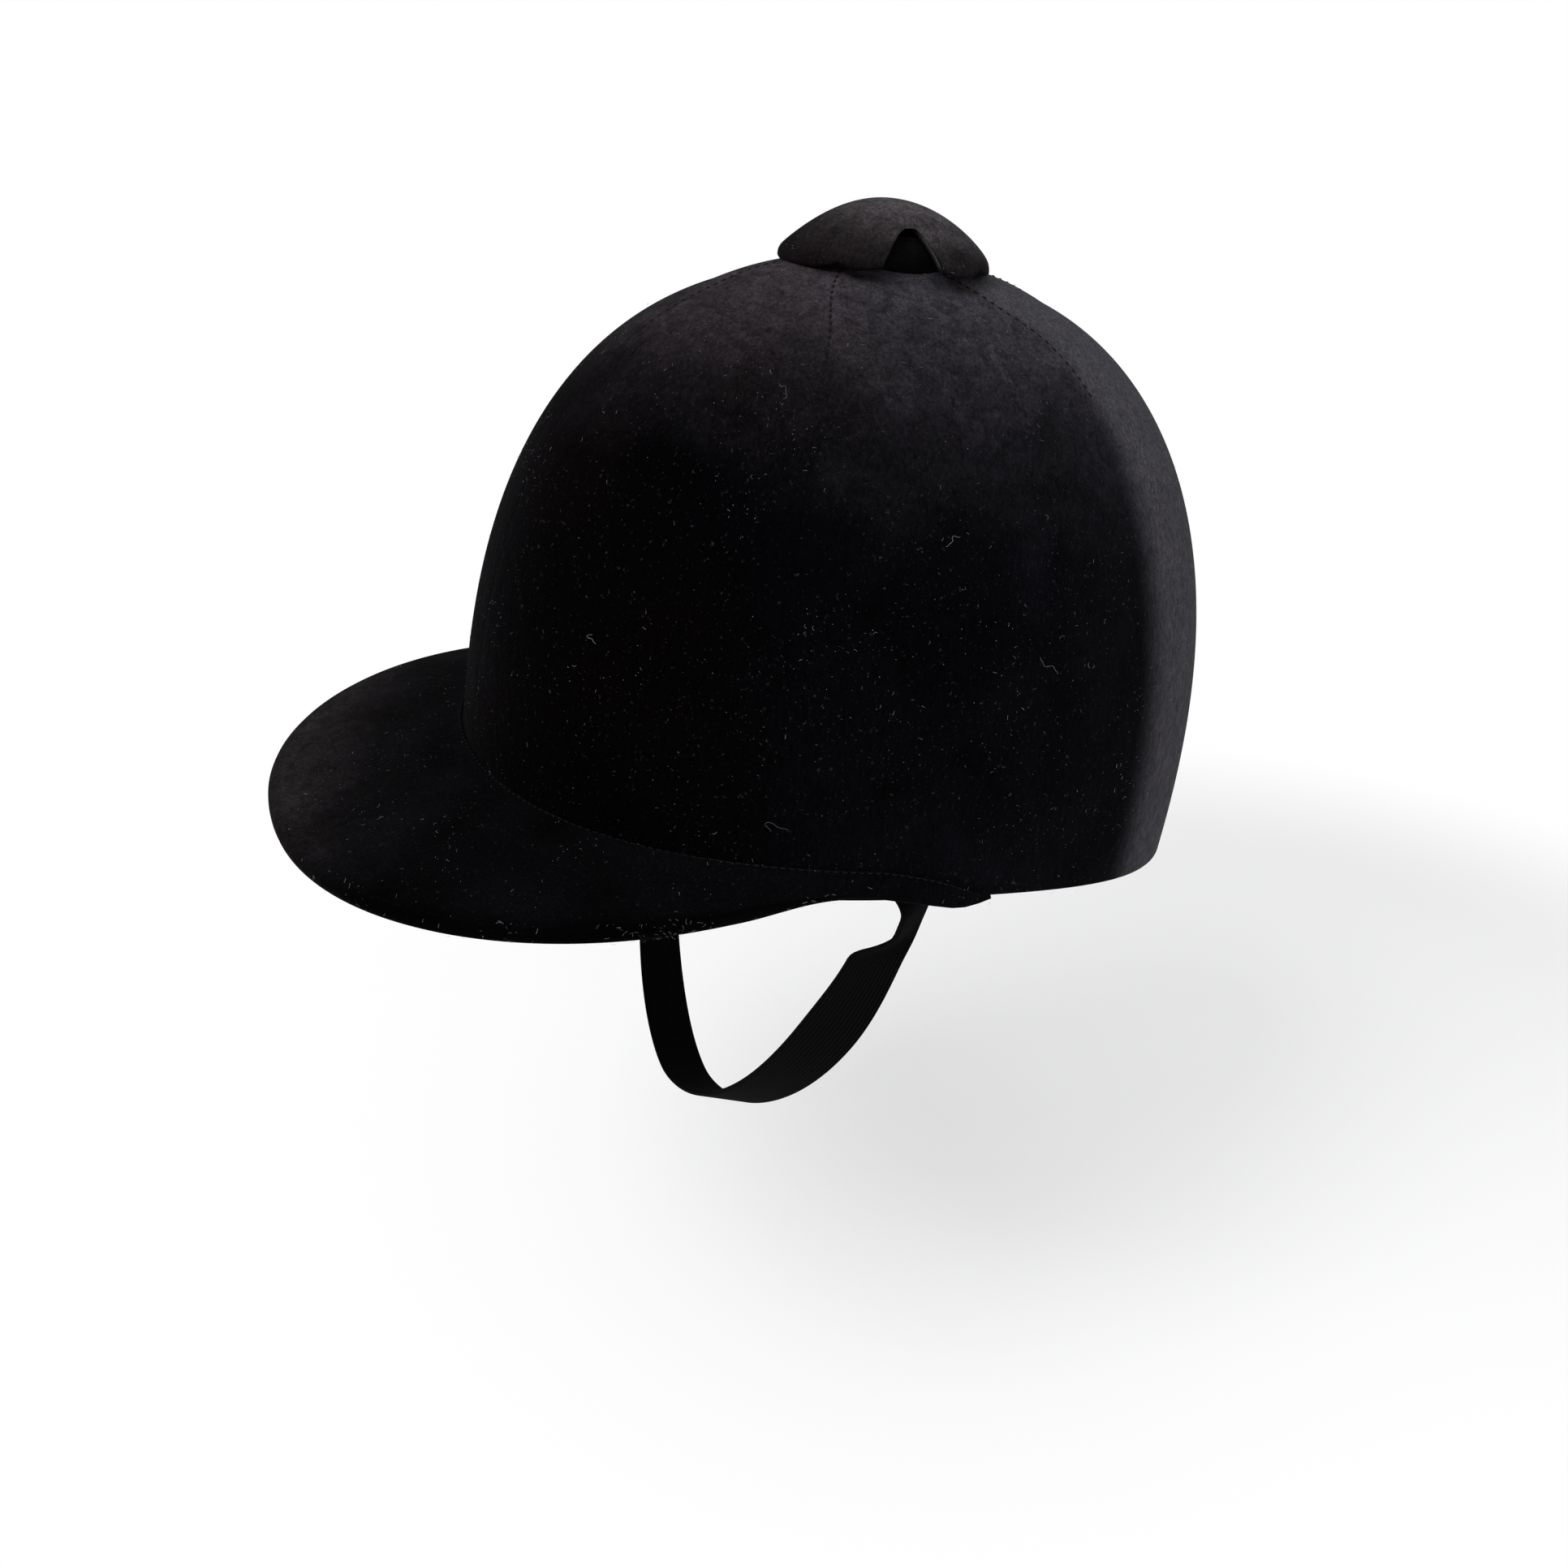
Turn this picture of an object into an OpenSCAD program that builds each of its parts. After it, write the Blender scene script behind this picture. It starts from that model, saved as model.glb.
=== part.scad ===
// Velvet hunt cap: stiff shell with a sewn velvet cover, a peak, a vented button,
// a padded and lined inside, and one loop of elastic chin strap on two rivets.
// The origin is the centre of the head opening, the peak points to -Y, millimetres.

/* [Crown] */
// Outside length of the crown at its rim, front to back
crown_l = 245; // [238:1:252]
// Outside width of the crown at its rim
crown_w = 197.5; // [192:0.5:204]
// Height of the crown above its rim, without the rise under the button
crown_h = 160; // [150:1:170]
// Roundness of the crown seen from the side, 2 is an ellipse
crown_round = 2.54; // [2.3:0.02:2.8]
// Roundness of the crown seen from the front
side_round = 2.2; // [2:0.05:2.5]
// Roundness of the crown seen from above
plan_round = 2.12; // [2:0.02:2.4]
// How far the widest place lies in front of the middle
widest_front = 4; // [0:1:6]
// How far the gores meet in front of the middle
top_front = 16; // [10:1:20]
// How far the middle of the walls leans to the front
lean_front = 1.9; // [0:0.1:5]
// Forward tip of the crown's top, degrees
top_tip = 5.8; // [2:0.2:8]
// How far the crown rises to the point where its gores meet
top_rise = 3; // [0:0.5:4]
// Rise of the rim over the ears
ear_arch = 6; // [3:1:8]
// Drop of the rim at the nape
nape_drop = 7.5; // [3:0.5:10]
// Number of velvet gores
gores = 6; // [6]
// Gap along a sewn seam
seam_gap = 0.3; // [0.2:0.1:0.5]

/* [Layers] */
// Thickness of the velvet
velvet_t = 1.2; // [1:0.1:1.6]
// Thickness of the stiff shell
shell_t = 3.2; // [2.6:0.2:4]
// Thickness of the foam pads
pad_t = 9.5; // [8:0.5:11]
// Thickness of the satin lining
lining_t = 0.6; // [0.4:0.1:1]
// Thickness of the leather sweatband
leather_t = 1.4; // [1:0.1:1.8]
// Gap between two glued or sewn layers
layer_gap = 0.1; // [0.05:0.05:0.2]
// Gap between two soft layers inside
soft_gap = 0.6; // [0.5:0.05:0.7]

/* [Peak] */
// Reach of the peak in front of the crown
peak_l = 53.5; // [48:0.5:60]
// Angle from the front at which the peak's edge comes in to the crown, degrees
peak_turn = 65.5; // [62:0.5:70]
// Width of the blend where it comes in
peak_blend = 8; // [6:0.5:10]
// Angle from the front at which the peak's tails end, degrees
peak_end = 90; // [84:1:94]
// Drop of the peak's front edge below the rim
peak_drop = 10; // [6:0.5:16]
// Height of the peak's side edge above the rim
peak_side_rise = 7.5; // [5:0.5:11]
// Fall of the tails behind their highest place
tail_fall = 5; // [3:0.5:6]
// Height at which the peak's velvet meets the crown at the front
root_front = 8; // [6:0.5:10]
// Height at which it meets the crown at the sides
root_side = 14; // [12:0.5:16]
// Slope of the peak where it leaves the crown
peak_slope = 0.27; // [0.22:0.01:0.32]
// Thickness of the peak's stiff board
board_t = 1.6; // [1.4:0.1:2.2]

/* [Button] */
// Radius of the button over its velvet
button_r = 31; // [30:0.5:33]
// Height of the button above the crown
button_h = 14.5; // [13:0.5:17]
// Roundness of the button's dome, 2 is an ellipse
button_round = 1.65; // [1.5:0.05:2.2]
// Wall of the button's core
button_wall = 2.2; // [1.8:0.2:3]
// Turn of the vents towards the front, degrees
button_turn = 8; // [0:1:12]
// Half width of each arched vent
vent_half = 8; // [7:0.5:9]
// Height of each vent's arch above the crown
vent_h = 9.5; // [8.5:0.5:11]
// Radius of the button's screw
screw_r = 2; // [1.5:0.25:2.5]

/* [Inside] */
// Height of the leather sweatband
band_h = 36; // [30:1:42]
// Half of the free stretch beside each strap rivet
strap_pocket = 46; // [44:1:50]

/* [Chin strap] */
// Width of the elastic strap
strap_w = 19; // [16:0.5:22]
// Thickness of the elastic strap
strap_t = 1.6; // [1.2:0.1:2]
// Depth of the strap's loop below the rim
strap_drop = 125.5; // [115:0.5:140]
// Pointedness of the loop, 2 is an ellipse
strap_round = 1.75; // [1.4:0.05:2]
// Turn of the webbing about its own length just below the rim, degrees
strap_edge_turn = 36; // [20:1:40]
// Its turn the other way beside the jaw
strap_twist = 22; // [10:1:30]
// What is left of that turn at the lowest place
strap_low_turn = 8; // [0:1:20]
// How far back the webbing slips just below the rim
strap_slip = 6; // [3:0.5:7]
// Length of the spacer between the shell and the strap
spacer_l = 2.8; // [2.6:0.1:3.2]
// How far forward the loop hangs, degrees
strap_hang = 6.5; // [0:0.5:8]
// Place of the rivets in front of the middle
rivet_front = 17; // [14:1:26]
// Height of the rivets above the rim
rivet_up = 17; // [16:0.5:19]
// Radius of a rivet's shank
rivet_r = 2; // [1.75:0.25:2.5]
// Radial running clearance of an eyelet on its rivet
run_gap = 0.05; // [0.02:0.01:0.09]

/* [Hidden] */
$fn = 48;

velvet = "#17161c";
satin = "#3a1518";
foam = "#c9c2ae";
tan_leather = "#7a5536";
metal = "#b9b9bd";

// Depths under the crown's skin
shell_out = velvet_t + layer_gap;
shell_in = shell_out + shell_t;
pad_out = shell_in + soft_gap;
pad_in = pad_out + pad_t;
lining_out = pad_in + soft_gap;
lining_in = lining_out + lining_t;
band_out = lining_in + soft_gap;
band_in = band_out + leather_t;

// The gores' share of the way round
gore_turn = 360 / gores;

// Power that keeps the sign
function signed_pow(v, e) = sign(v) * pow(abs(v), e);
// Share of a half width that is left at a share of the height
function wall(s, round) = pow(max(1 - pow(s, round), 0), 1 / round);
// Share of the half length that the rise at the top takes up
rise_reach = 0.42;
// Share of the height after a step v of the way over the dome, 0 at the rim and 1 at the top
function climb(v) = pow(max(1 - pow(cos(90 * v), crown_round), 0), 1 / crown_round);
// Height of the rim at an angle
function rim_z(a) = ear_arch * pow(sin(a), 4) - nape_drop * pow(max(-cos(a), 0), 1.5);
// Point d under the crown's skin: a is 0 at the front and grows towards the wearer's left
function skin(a, s, d) =
    let (side = wall(s, side_round), long = wall(s, crown_round),
         y = -signed_pow(cos(a), 2 / plan_round) * (crown_l / 2 - d) * long)
    [signed_pow(sin(a), 2 / plan_round) * (crown_w / 2 - d) * side,
     y - widest_front * pow(sin(a), 2) * long - lean_front * sin(180 * s) - top_front * pow(s, 3),
     s * (crown_h - d) + rim_z(a) * pow(1 - s, 2) + tan(top_tip) * y * pow(s, 2)
         + top_rise * max(1 - pow(long / rise_reach, 2), 0)];
// Share of the height at which the wall is z above the rim's plane
function share(a, z) = (z - rim_z(a)) / (crown_h - 2 * rim_z(a));

// Triangles of one face of a grid that has rows of n points, from point number first
function grid_faces(rows, n, first, flip) =
    [for (i = [0 : rows - 2], j = [0 : n - 2], k = [0, 1])
        let (p = first + i * n + j, q = p + n,
             t = k == 0 ? [p, p + 1, q + 1] : [p, q + 1, q])
        flip ? [t[2], t[1], t[0]] : t];
// Closed sheet between two grids of points with the same rows and columns
module sheet(top, bottom) {
    rows = len(top);
    n = len(top[0]);
    all = [for (row = top) each row, for (row = bottom) each row];
    b = rows * n;
    // Points round the sheet's border, one after another
    ring = [for (j = [0 : n - 2]) j, for (i = [0 : rows - 2]) i * n + n - 1,
            for (j = [n - 1 : -1 : 1]) (rows - 1) * n + j, for (i = [rows - 1 : -1 : 1]) i * n];
    m = len(ring);
    edge = [for (k = [0 : m - 1], h = [0, 1])
        let (p = ring[k], q = ring[(k + 1) % m])
        h == 0 ? [q, p, b + p] : [q, b + p, b + q]];
    polyhedron(all, concat(grid_faces(rows, n, 0, false), grid_faces(rows, n, b, true), edge),
               convexity = 6);
}
// Closed dome between two depths that has a ring at each of its steps, and a top
module dome(d_out, d_in, steps, turns) {
    rings = len(steps);
    outer = [for (v = steps, j = [0 : turns - 1]) skin(360 * j / turns, climb(v), d_out)];
    inner = [for (v = steps, j = [0 : turns - 1]) skin(360 * j / turns, climb(v), d_in)];
    n = rings * turns;
    pts = concat(outer, [skin(0, 1, d_out)], inner, [skin(0, 1, d_in)]);
    top = n;
    b = n + 1;
    under = b + n;
    walls = [for (i = [0 : rings - 2], j = [0 : turns - 1], k = [0 : 3])
        let (p = i * turns + j, p2 = i * turns + (j + 1) % turns, q = p + turns, q2 = p2 + turns)
        k == 0 ? [p, q2, p2] : k == 1 ? [p, q, q2] :
        k == 2 ? [b + p, b + p2, b + q2] : [b + p, b + q2, b + q]];
    last = (rings - 1) * turns;
    caps = [for (j = [0 : turns - 1], k = [0 : 3])
        let (p = last + j, p2 = last + (j + 1) % turns, q = j, q2 = (j + 1) % turns)
        k == 0 ? [p, top, p2] : k == 1 ? [b + p, b + p2, under] :
        k == 2 ? [q, q2, b + q2] : [q, b + q2, b + q]];
    polyhedron(pts, concat(walls, caps), convexity = 6);
}
// Closed tube whose cross sections are the rows of a list, joined end to start if closed
module loft(rows, closed) {
    m = len(rows);
    n = len(rows[0]);
    last = closed ? m - 1 : m - 2;
    sides = [for (i = [0 : last], j = [0 : n - 1], k = [0, 1])
        let (p = i * n + j, p2 = i * n + (j + 1) % n,
             q = ((i + 1) % m) * n + j, q2 = ((i + 1) % m) * n + (j + 1) % n)
        k == 0 ? [p, q, q2] : [p, q2, p2]];
    ends = closed ? [] : [[for (j = [0 : n - 1]) j], [for (j = [n - 1 : -1 : 0]) (m - 1) * n + j]];
    polyhedron([for (row = rows) each row], concat(sides, ends), convexity = 6);
}
// Patch of the crown between two angles and two depths that has a row at each of its steps
module patch(a0, a1, steps, d_out, d_in, cols) {
    function grid(d) = [for (v = steps) [for (j = [0 : cols])
        skin(a1 + (a0 - a1) * j / cols, climb(v), d)]];
    sheet(grid(d_out), grid(d_in));
}
// Even steps from one share of the way over the dome to another
function even_steps(v0, v1, rows) = [for (i = [0 : rows]) v0 + (v1 - v0) * i / rows];
// Patch of the wall between two angles and two heights above the rim, between two depths
module wall_patch(a0, a1, z0, z1, d_out, d_in, cols, rows) {
    function height(a, t) = (z0 + (z1 - z0) * t) / crown_h;
    function grid(d) = [for (i = [0 : rows]) [for (j = [0 : cols])
        let (a = a1 + (a0 - a1) * j / cols) skin(a, height(a, i / rows), d)]];
    sheet(grid(d_out), grid(d_in));
}

// The button stands square to the crown's top, where the gores meet
crown_top = skin(0, 1, 0);
module at_top() translate(crown_top) rotate([top_tip, 0, 0]) children();

// Shell: its rings lie where the rows of the velvet's faces do
gore_top_v = 0.88;
gore_steps = even_steps(0, gore_top_v, 10);
gore_cols = 8;
// Radius of each air hole under the button, and of the ring that they stand on
vent_hole_r = 3.5;
vent_hole_ring = 13;
screw_gap = 0.4;
// Length of the cuts that pass right through the crown's top
cut_l = 40;
pocket_r = rivet_r + 2.6;
rivet_head_t = 1;
rivet_sink = 0.8;
// Shell's outer and inner wall at the rivets, on X
rivet_s = rivet_up / crown_h;
rivet_a = acos(pow((rivet_front - widest_front) / (crown_l / 2), plan_round / 2));
rivet_wall_out = skin(rivet_a, rivet_s, shell_out)[0];
rivet_wall_in = skin(rivet_a, rivet_s, shell_in)[0];
module shell() color("#2b2b2e") difference() {
    dome(shell_out, shell_in, concat(gore_steps, [(1 + gore_top_v) / 2]), gore_cols * gores);
    at_top() {
        cylinder(h = cut_l, r = screw_r + screw_gap, center = true);
        for (turn = [45 : 90 : 315]) rotate(turn) translate([vent_hole_ring, 0, 0])
            cylinder(h = cut_l, r = vent_hole_r, center = true);
    }
    for (side = [-1, 1]) translate([side * rivet_wall_in, -rivet_front, rivet_up])
        rotate([0, side * 90, 0]) {
            cylinder(h = 4 * shell_t, r = rivet_r, center = true);
            translate([0, 0, rivet_wall_out - rivet_wall_in - rivet_head_t - rivet_sink - 0.1])
                cylinder(h = 2 * shell_t, r = pocket_r);
        }
}

// Velvet gores: each runs from the rim to the foot of the button
module gore(n) color(velvet) {
    trim = seam_gap * 90 / (PI * crown_l / 2);
    patch(n * gore_turn + trim, (n + 1) * gore_turn - trim, gore_steps, 0, velvet_t, gore_cols);
}
// Velvet turned round the shell's edge and up inside it
turn_up = 5;
// How far the pile is pressed down under the strap
pile_t = 0.7;
// Room for the glue between the shell and the turned velvet
glue_gap = 0.25;
module rim_turning() {
    turns = gore_cols * gores;
    deep = shell_in + glue_gap;
    // The turned edge's section at an angle, with its pile pressed flat where the strap passes
    function section(a) =
        let (low = [0, 0, -layer_gap], thick = [0, 0, -velvet_t], up = turn_up / crown_h,
             flat = deep + velvet_t - pile_t * pow(abs(sin(a)), 8))
        [skin(a, 0, 0) + low, skin(a, 0, deep) + low, skin(a, up, deep),
         skin(a, up, flat), skin(a, 0, flat) + low + thick, skin(a, 0, 0) + low + thick];
    color(velvet) loft([for (i = [turns - 1 : -1 : 0]) section(360 * i / turns)], true);
}

// Peak: a is the angle from the front, t runs from the seam on the crown to the edge
function peak_reach(a) = let (w = peak_l * (1 - pow(abs(a) / peak_turn, 2.3)))
    (w + sqrt(w * w + 4 * peak_blend * peak_blend)) / 2;
function peak_edge_z(a) = peak_side_rise
    - (peak_drop + peak_side_rise) * pow(cos(min(1.2 * abs(a), 90)), 2)
    - tail_fall * pow(max((abs(a) - 72) / 18, 0), 1.5);
// Share of the peak's height at its root that is left near the ends of its tails
function tail_close(a) = pow(max(min((peak_end + 1 - abs(a)) / 14, 1), 0), 0.8);
function peak_root_z(a) = let (low = peak_edge_z(a) + 3.4)
    low + (root_front + (root_side - root_front) * pow(sin(a), 2) - low) * tail_close(a);
function unit(v) = v / norm(v);
cover_in = velvet_t;
peak_stand = cover_in + layer_gap;
// Skin of the peak: a bent sheet from its seam on the crown over a soft corner to its edge
function peak_skin(a, t) =
    let (root = skin(a, max(share(a, peak_root_z(a)), 0), -peak_stand),
         rim = skin(a, 0, 0), corner = skin(a, 0, -peak_stand - 0.6),
         w = max(peak_reach(a), 2 * peak_stand), edge_z = peak_edge_z(a),
         edge = [rim[0] + sin(a) * w, rim[1] - cos(a) * w, edge_z],
         bend = [corner[0], corner[1], edge_z + max(peak_slope * w, 1)])
    (1 - t) * (1 - t) * root + 2 * t * (1 - t) * bend + t * t * edge;
// Way out of the peak's skin, square to it
function peak_out(a, t) =
    let (e = 0.02, along = peak_skin(a + 1, t) - peak_skin(a - 1, t),
         down = peak_skin(a, t + e) - peak_skin(a, t - e))
    unit(cross(down, along));
function peak_point(a, t, d) = peak_skin(a, t) - d * peak_out(a, t);
board_out = cover_in + layer_gap;
board_in = board_out + board_t;
under_out = board_in + layer_gap;
under_in = under_out + lining_t;
// The velvet has peak_rows rows of faces, and the board starts board_row rows down
peak_rows = 7;
board_row = 3;
peak_cols = 36;
peak_step = 2 * peak_end / peak_cols;
board_cols = 24;
binding_cols = 28;
module peak_cover() {
    function grid(d) = [for (i = [0 : peak_rows]) [for (j = [0 : peak_cols])
        peak_point(peak_step * (j - peak_cols / 2), i / peak_rows, d)]];
    color(velvet) sheet(grid(0), grid(cover_in));
}
// Inner edge of the peak's layers, d under its skin, close to the crown's wall
function peak_wall_point(a, d) =
    let (z = peak_edge_z(a) + peak_slope * peak_reach(a) - d,
         p = skin(a, max(share(a, z), 0), -layer_gap - 0.1))
    [p[0], p[1], z];
// Layer of the peak between two depths under its skin
module peak_layer(d_out, d_in) {
    function place(i, a, d) = i < board_row ? peak_wall_point(a, d) : peak_point(a, i / peak_rows, d);
    function grid(d) = [for (i = [board_row - 1 : peak_rows]) [for (j = [0 : board_cols])
        place(i, peak_step * (j - board_cols / 2), d)]];
    sheet(grid(d_out), grid(d_in));
}
module peak_board() color("#6b5a45") peak_layer(board_out, board_in);
module peak_lining() color("#101012") peak_layer(under_out, under_in);
// Velvet bound round the peak's edge
binding_t = 0.8;
module peak_binding() {
    under = under_in + layer_gap;
    // The binding's section at an angle
    function section(a) = [peak_point(a, 1.01, 0), peak_point(a, 1.025, 1),
        peak_point(a, 1.025, under), peak_point(a, 1.015, under + binding_t),
        peak_point(a, 0.9, under + binding_t), peak_point(a, 0.9, under), peak_point(a, 1.01, under)];
    color(velvet) loft([for (j = [0 : binding_cols]) section(peak_step * (j - binding_cols / 2))], false);
}

// Button: a hollow dome with an arched vent at each side and a post for its screw. Its edge is level
// and stands clear of the crown at the sides, where the air comes out under it.
button_skirt = 1.6;
notch_r = 3;
notch_down = 2.2;
core_out = velvet_t + layer_gap;
module button_dome(d) {
    r = button_r - d;
    h = button_h - d;
    profile = [for (i = [0 : 16]) let (b = 90 * i / 16)
        [r * pow(cos(b), 2 / button_round), h * pow(sin(b), 2 / button_round)]];
    rotate_extrude($fn = 96) polygon(concat([[0, -button_skirt], [r, -button_skirt]], profile));
}
// Arched vent at each side, and a small notch over each of the other seams
module vent_cut() rotate(-button_turn) {
    rotate([90, 0, 90]) linear_extrude(height = 3 * button_r, center = true) union() {
        translate([0, vent_h - vent_half]) circle(r = vent_half, $fn = 48);
        translate([-vent_half, -cut_l / 2]) square([2 * vent_half, cut_l / 2 + vent_h - vent_half]);
    }
    for (turn = [45, 135]) rotate(turn) rotate([0, 90, 0]) translate([notch_down, 0, 0])
        cylinder(h = 3 * button_r, r = notch_r, center = true);
}
module crown_block() dome(-0.2, pad_in, even_steps(0.6, 0.9, 4), 36);
post_r = 7;
insert_r = 3.6;
insert_l = 9;
// How far below the crown's skin the bore for the insert begins
bore_low = 5;
module button_core() color("#26262a") difference() {
    union() {
        difference() {
            at_top() difference() {
                button_dome(core_out);
                button_dome(core_out + button_wall);
                vent_cut();
            }
            crown_block();
        }
        at_top() translate([0, 0, 0.05 - shell_out])
            cylinder(h = button_h + velvet_t - button_wall, r = post_r);
    }
    at_top() translate([0, 0, -bore_low]) cylinder(h = bore_low + insert_l, r = insert_r);
}
module button_cover() color(velvet) difference() {
    at_top() difference() {
        button_dome(0);
        button_dome(velvet_t);
        vent_cut();
    }
    crown_block();
}
module button_insert() color("#b08d4a") at_top() difference() {
    translate([0, 0, 0.6]) cylinder(h = insert_l - 0.7, r = insert_r - 0.02);
    translate([0, 0, -1]) cylinder(h = insert_l + 2, r = screw_r);
}
washer_r = 9;
washer_t = 1;
washer_top = -shell_in - 0.4 - 0.2 * top_rise;
module button_washer() color(metal) at_top() translate([0, 0, washer_top - washer_t]) difference() {
    cylinder(h = washer_t, r = washer_r);
    translate([0, 0, -1]) cylinder(h = washer_t + 2, r = screw_r + 0.3);
}
module button_screw() color(metal) at_top() {
    head_t = 2;
    head_top = washer_top - washer_t;
    translate([0, 0, head_top - head_t]) difference() {
        cylinder(h = head_t, r = 2 * screw_r);
        translate([-0.5, -2 * screw_r - 1, -1]) cube([1, 4 * screw_r + 2, 2]);
    }
    translate([0, 0, head_top]) cylinder(h = insert_l - 1.5 - head_top, r = screw_r - 0.02);
}

// Foam pads inside the shell
crown_pad_steps = even_steps(0.66, 0.94, 4);
module crown_pad() color(foam) difference() {
    dome(pad_out, pad_in, crown_pad_steps, 36);
    at_top() cylinder(h = 2 * cut_l, r = washer_r + 2, center = true);
}
pad_low = 6;
pad_high = 44;
side_pad_h = 34;
// Angles at which the strap's pocket begins and ends on the wearer's left
function side_angle(y) = acos(signed_pow((-widest_front - y) / (crown_l / 2), plan_round / 2));
pocket_front = side_angle(-rivet_front - strap_pocket);
pocket_back = side_angle(-rivet_front + strap_pocket);
module front_pad() color(foam)
    wall_patch(-pocket_front, pocket_front, pad_low, pad_high, pad_out, pad_in, 16, 3);
module back_pad() color(foam)
    wall_patch(pocket_back, 360 - pocket_back, pad_low, pad_high, pad_out, pad_in, 16, 3);
module left_pad() color(foam)
    wall_patch(pocket_front + 1, pocket_back - 1, pad_high, pad_high + side_pad_h, pad_out, pad_in, 8, 3);
module right_pad() mirror([1, 0, 0]) left_pad();

// Satin lining in two pieces, gathered on a lace
lining_v = 0.075;
tip_v = 0.715;
module side_lining() {
    turns = 48;
    steps = even_steps(lining_v, tip_v - 0.015, 6);
    function section(a) = concat(
        [for (v = steps) skin(a, climb(v), lining_in)],
        [for (i = [len(steps) - 1 : -1 : 0]) skin(a, climb(steps[i]), lining_out)]);
    color(satin) loft([for (i = [0 : turns - 1]) section(360 * i / turns)], true);
}
module tip_lining() color(satin) dome(lining_out, lining_in, even_steps(tip_v, 0.95, 4), 36);
lace_r = 1.1;
module draw_lace() {
    turns = 36;
    v = tip_v - 0.02;
    function ring_point(a, b) = let (c = skin(a, climb(v), lining_in + lace_r + layer_gap))
        c + lace_r * [sin(a) * cos(b), -cos(a) * cos(b), sin(b)];
    color("#5b1c20")
        loft([for (i = [0 : turns - 1]) [for (j = [7 : -1 : 0]) ring_point(360 * i / turns, 45 * j)]], true);
}

// Leather sweatband, open at the nape where its bow is tied
band_low = 2;
band_gap = 3;
module sweatband() color(tan_leather)
    wall_patch(-180 + band_gap, 180 - band_gap, band_low, band_low + band_h, band_out, band_in, 44, 3);
bow_w = 26;
bow_h = 11;
bow_t = 1.2;
bow_lean = 3;
module sweatband_bow() color("#2a1a12") {
    seat = skin(180, (band_low + band_h * 0.6) / crown_h, band_in + 1.4);
    translate(seat) rotate([90 + bow_lean, 0, 0]) {
        difference() {
            linear_extrude(height = bow_t) union() for (side = [-1, 1]) hull() {
                translate([side * bow_w * 0.38, 0]) scale([1, 1.35]) circle(r = bow_h * 0.3, $fn = 24);
                circle(r = 1.6, $fn = 24);
            }
            for (side = [-1, 1]) translate([side * bow_w * 0.38, 0, -1])
                cylinder(h = bow_t + 2, r = bow_h * 0.12, $fn = 24);
        }
        translate([0, 0, -1]) cylinder(h = 2 * bow_t + 1, r = 2.2, $fn = 24);
        for (side = [-1, 1]) rotate(side * 24) translate([-1.5, -13, 0]) cube([3, 12, bow_t]);
    }
}

// Chin strap: its loop hangs in one plane, swung a little forward about the rivets
spacer_stand = 1.2;
flange_t = 0.4;
eyelet_gap = 0.3;
eyelet_out = rivet_wall_in - spacer_stand - spacer_l - eyelet_gap;
strap_mid = eyelet_out - flange_t - strap_t / 2;
strap_rings = 56;
eyelet_r = rivet_r + 1.2;
tab_up = 9;
// Place on the loop at an angle b: -90 is the right end, 0 the lowest place, 90 the left end
function loop_down(b) = rivet_up + strap_drop * pow(max(cos(b), 0), 2 / strap_round);
function loop_x(b) = strap_mid * signed_pow(sin(b), 2 / strap_round);
// Smooth step from 0 at one way down to 1 at another
function ease(from, to, down) = (1 - cos(180 * min(max((down - from) / (to - from), 0), 1))) / 2;
// Ways down at which the webbing begins to turn below the eyelet, is turned, and turns back
turn_from = 9;
turn_full = 22;
turn_back = 27;
turn_gone = 40;
jaw_from = 34;
jaw_full = 76;
function strap_turn(down) =
    strap_edge_turn * (ease(turn_from, turn_full, down) - ease(turn_back, turn_gone, down))
    - strap_twist * ease(jaw_from, jaw_full, down)
    + (strap_twist - strap_low_turn) * ease(jaw_full, rivet_up + strap_drop, down);
function strap_back(down) =
    strap_slip * (ease(turn_from, turn_full, down) - ease(turn_back, turn_gone, down));
module at_rivets() translate([0, -rivet_front, rivet_up]) rotate([-strap_hang, 0, 0]) children();
// The strap's places from one end to the other: across and down
strap_run = concat([for (down = [-tab_up, 0, turn_from, (turn_from + rivet_up) / 2]) [-strap_mid, down]],
    [for (i = [0 : strap_rings]) let (b = -90 + 180 * i / strap_rings) [loop_x(b), loop_down(b)]],
    [for (down = [(turn_from + rivet_up) / 2, turn_from, 0, -tab_up]) [strap_mid, down]]);
function strap_row(i) =
    let (n = len(strap_run), p = strap_run[i], q = strap_run[min(i + 1, n - 1)], o = strap_run[max(i - 1, 0)],
         way = unit([q[0] - o[0], 0, -(q[1] - o[1])]), face = [-way[2], 0, way[0]],
         turn = strap_turn(p[1]), c = cos(turn), s = sin(turn),
         wide = [0, c, 0] + s * face, thick = c * face - [0, s, 0], mid = [p[0], strap_back(p[1]), -p[1]])
    [for (k = [[-1, -1], [1, -1], [1, 1], [-1, 1]])
        mid + k[0] * strap_w / 2 * wide + k[1] * strap_t / 2 * thick];
module chin_strap() color("#121214") at_rivets() difference() {
    loft([for (i = [0 : len(strap_run) - 1]) strap_row(i)], false);
    for (side = [-1, 1]) translate([side * strap_mid, 0, 0]) rotate([0, 90, 0])
        cylinder(h = 4 * strap_t, r = eyelet_r, center = true);
}
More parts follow.
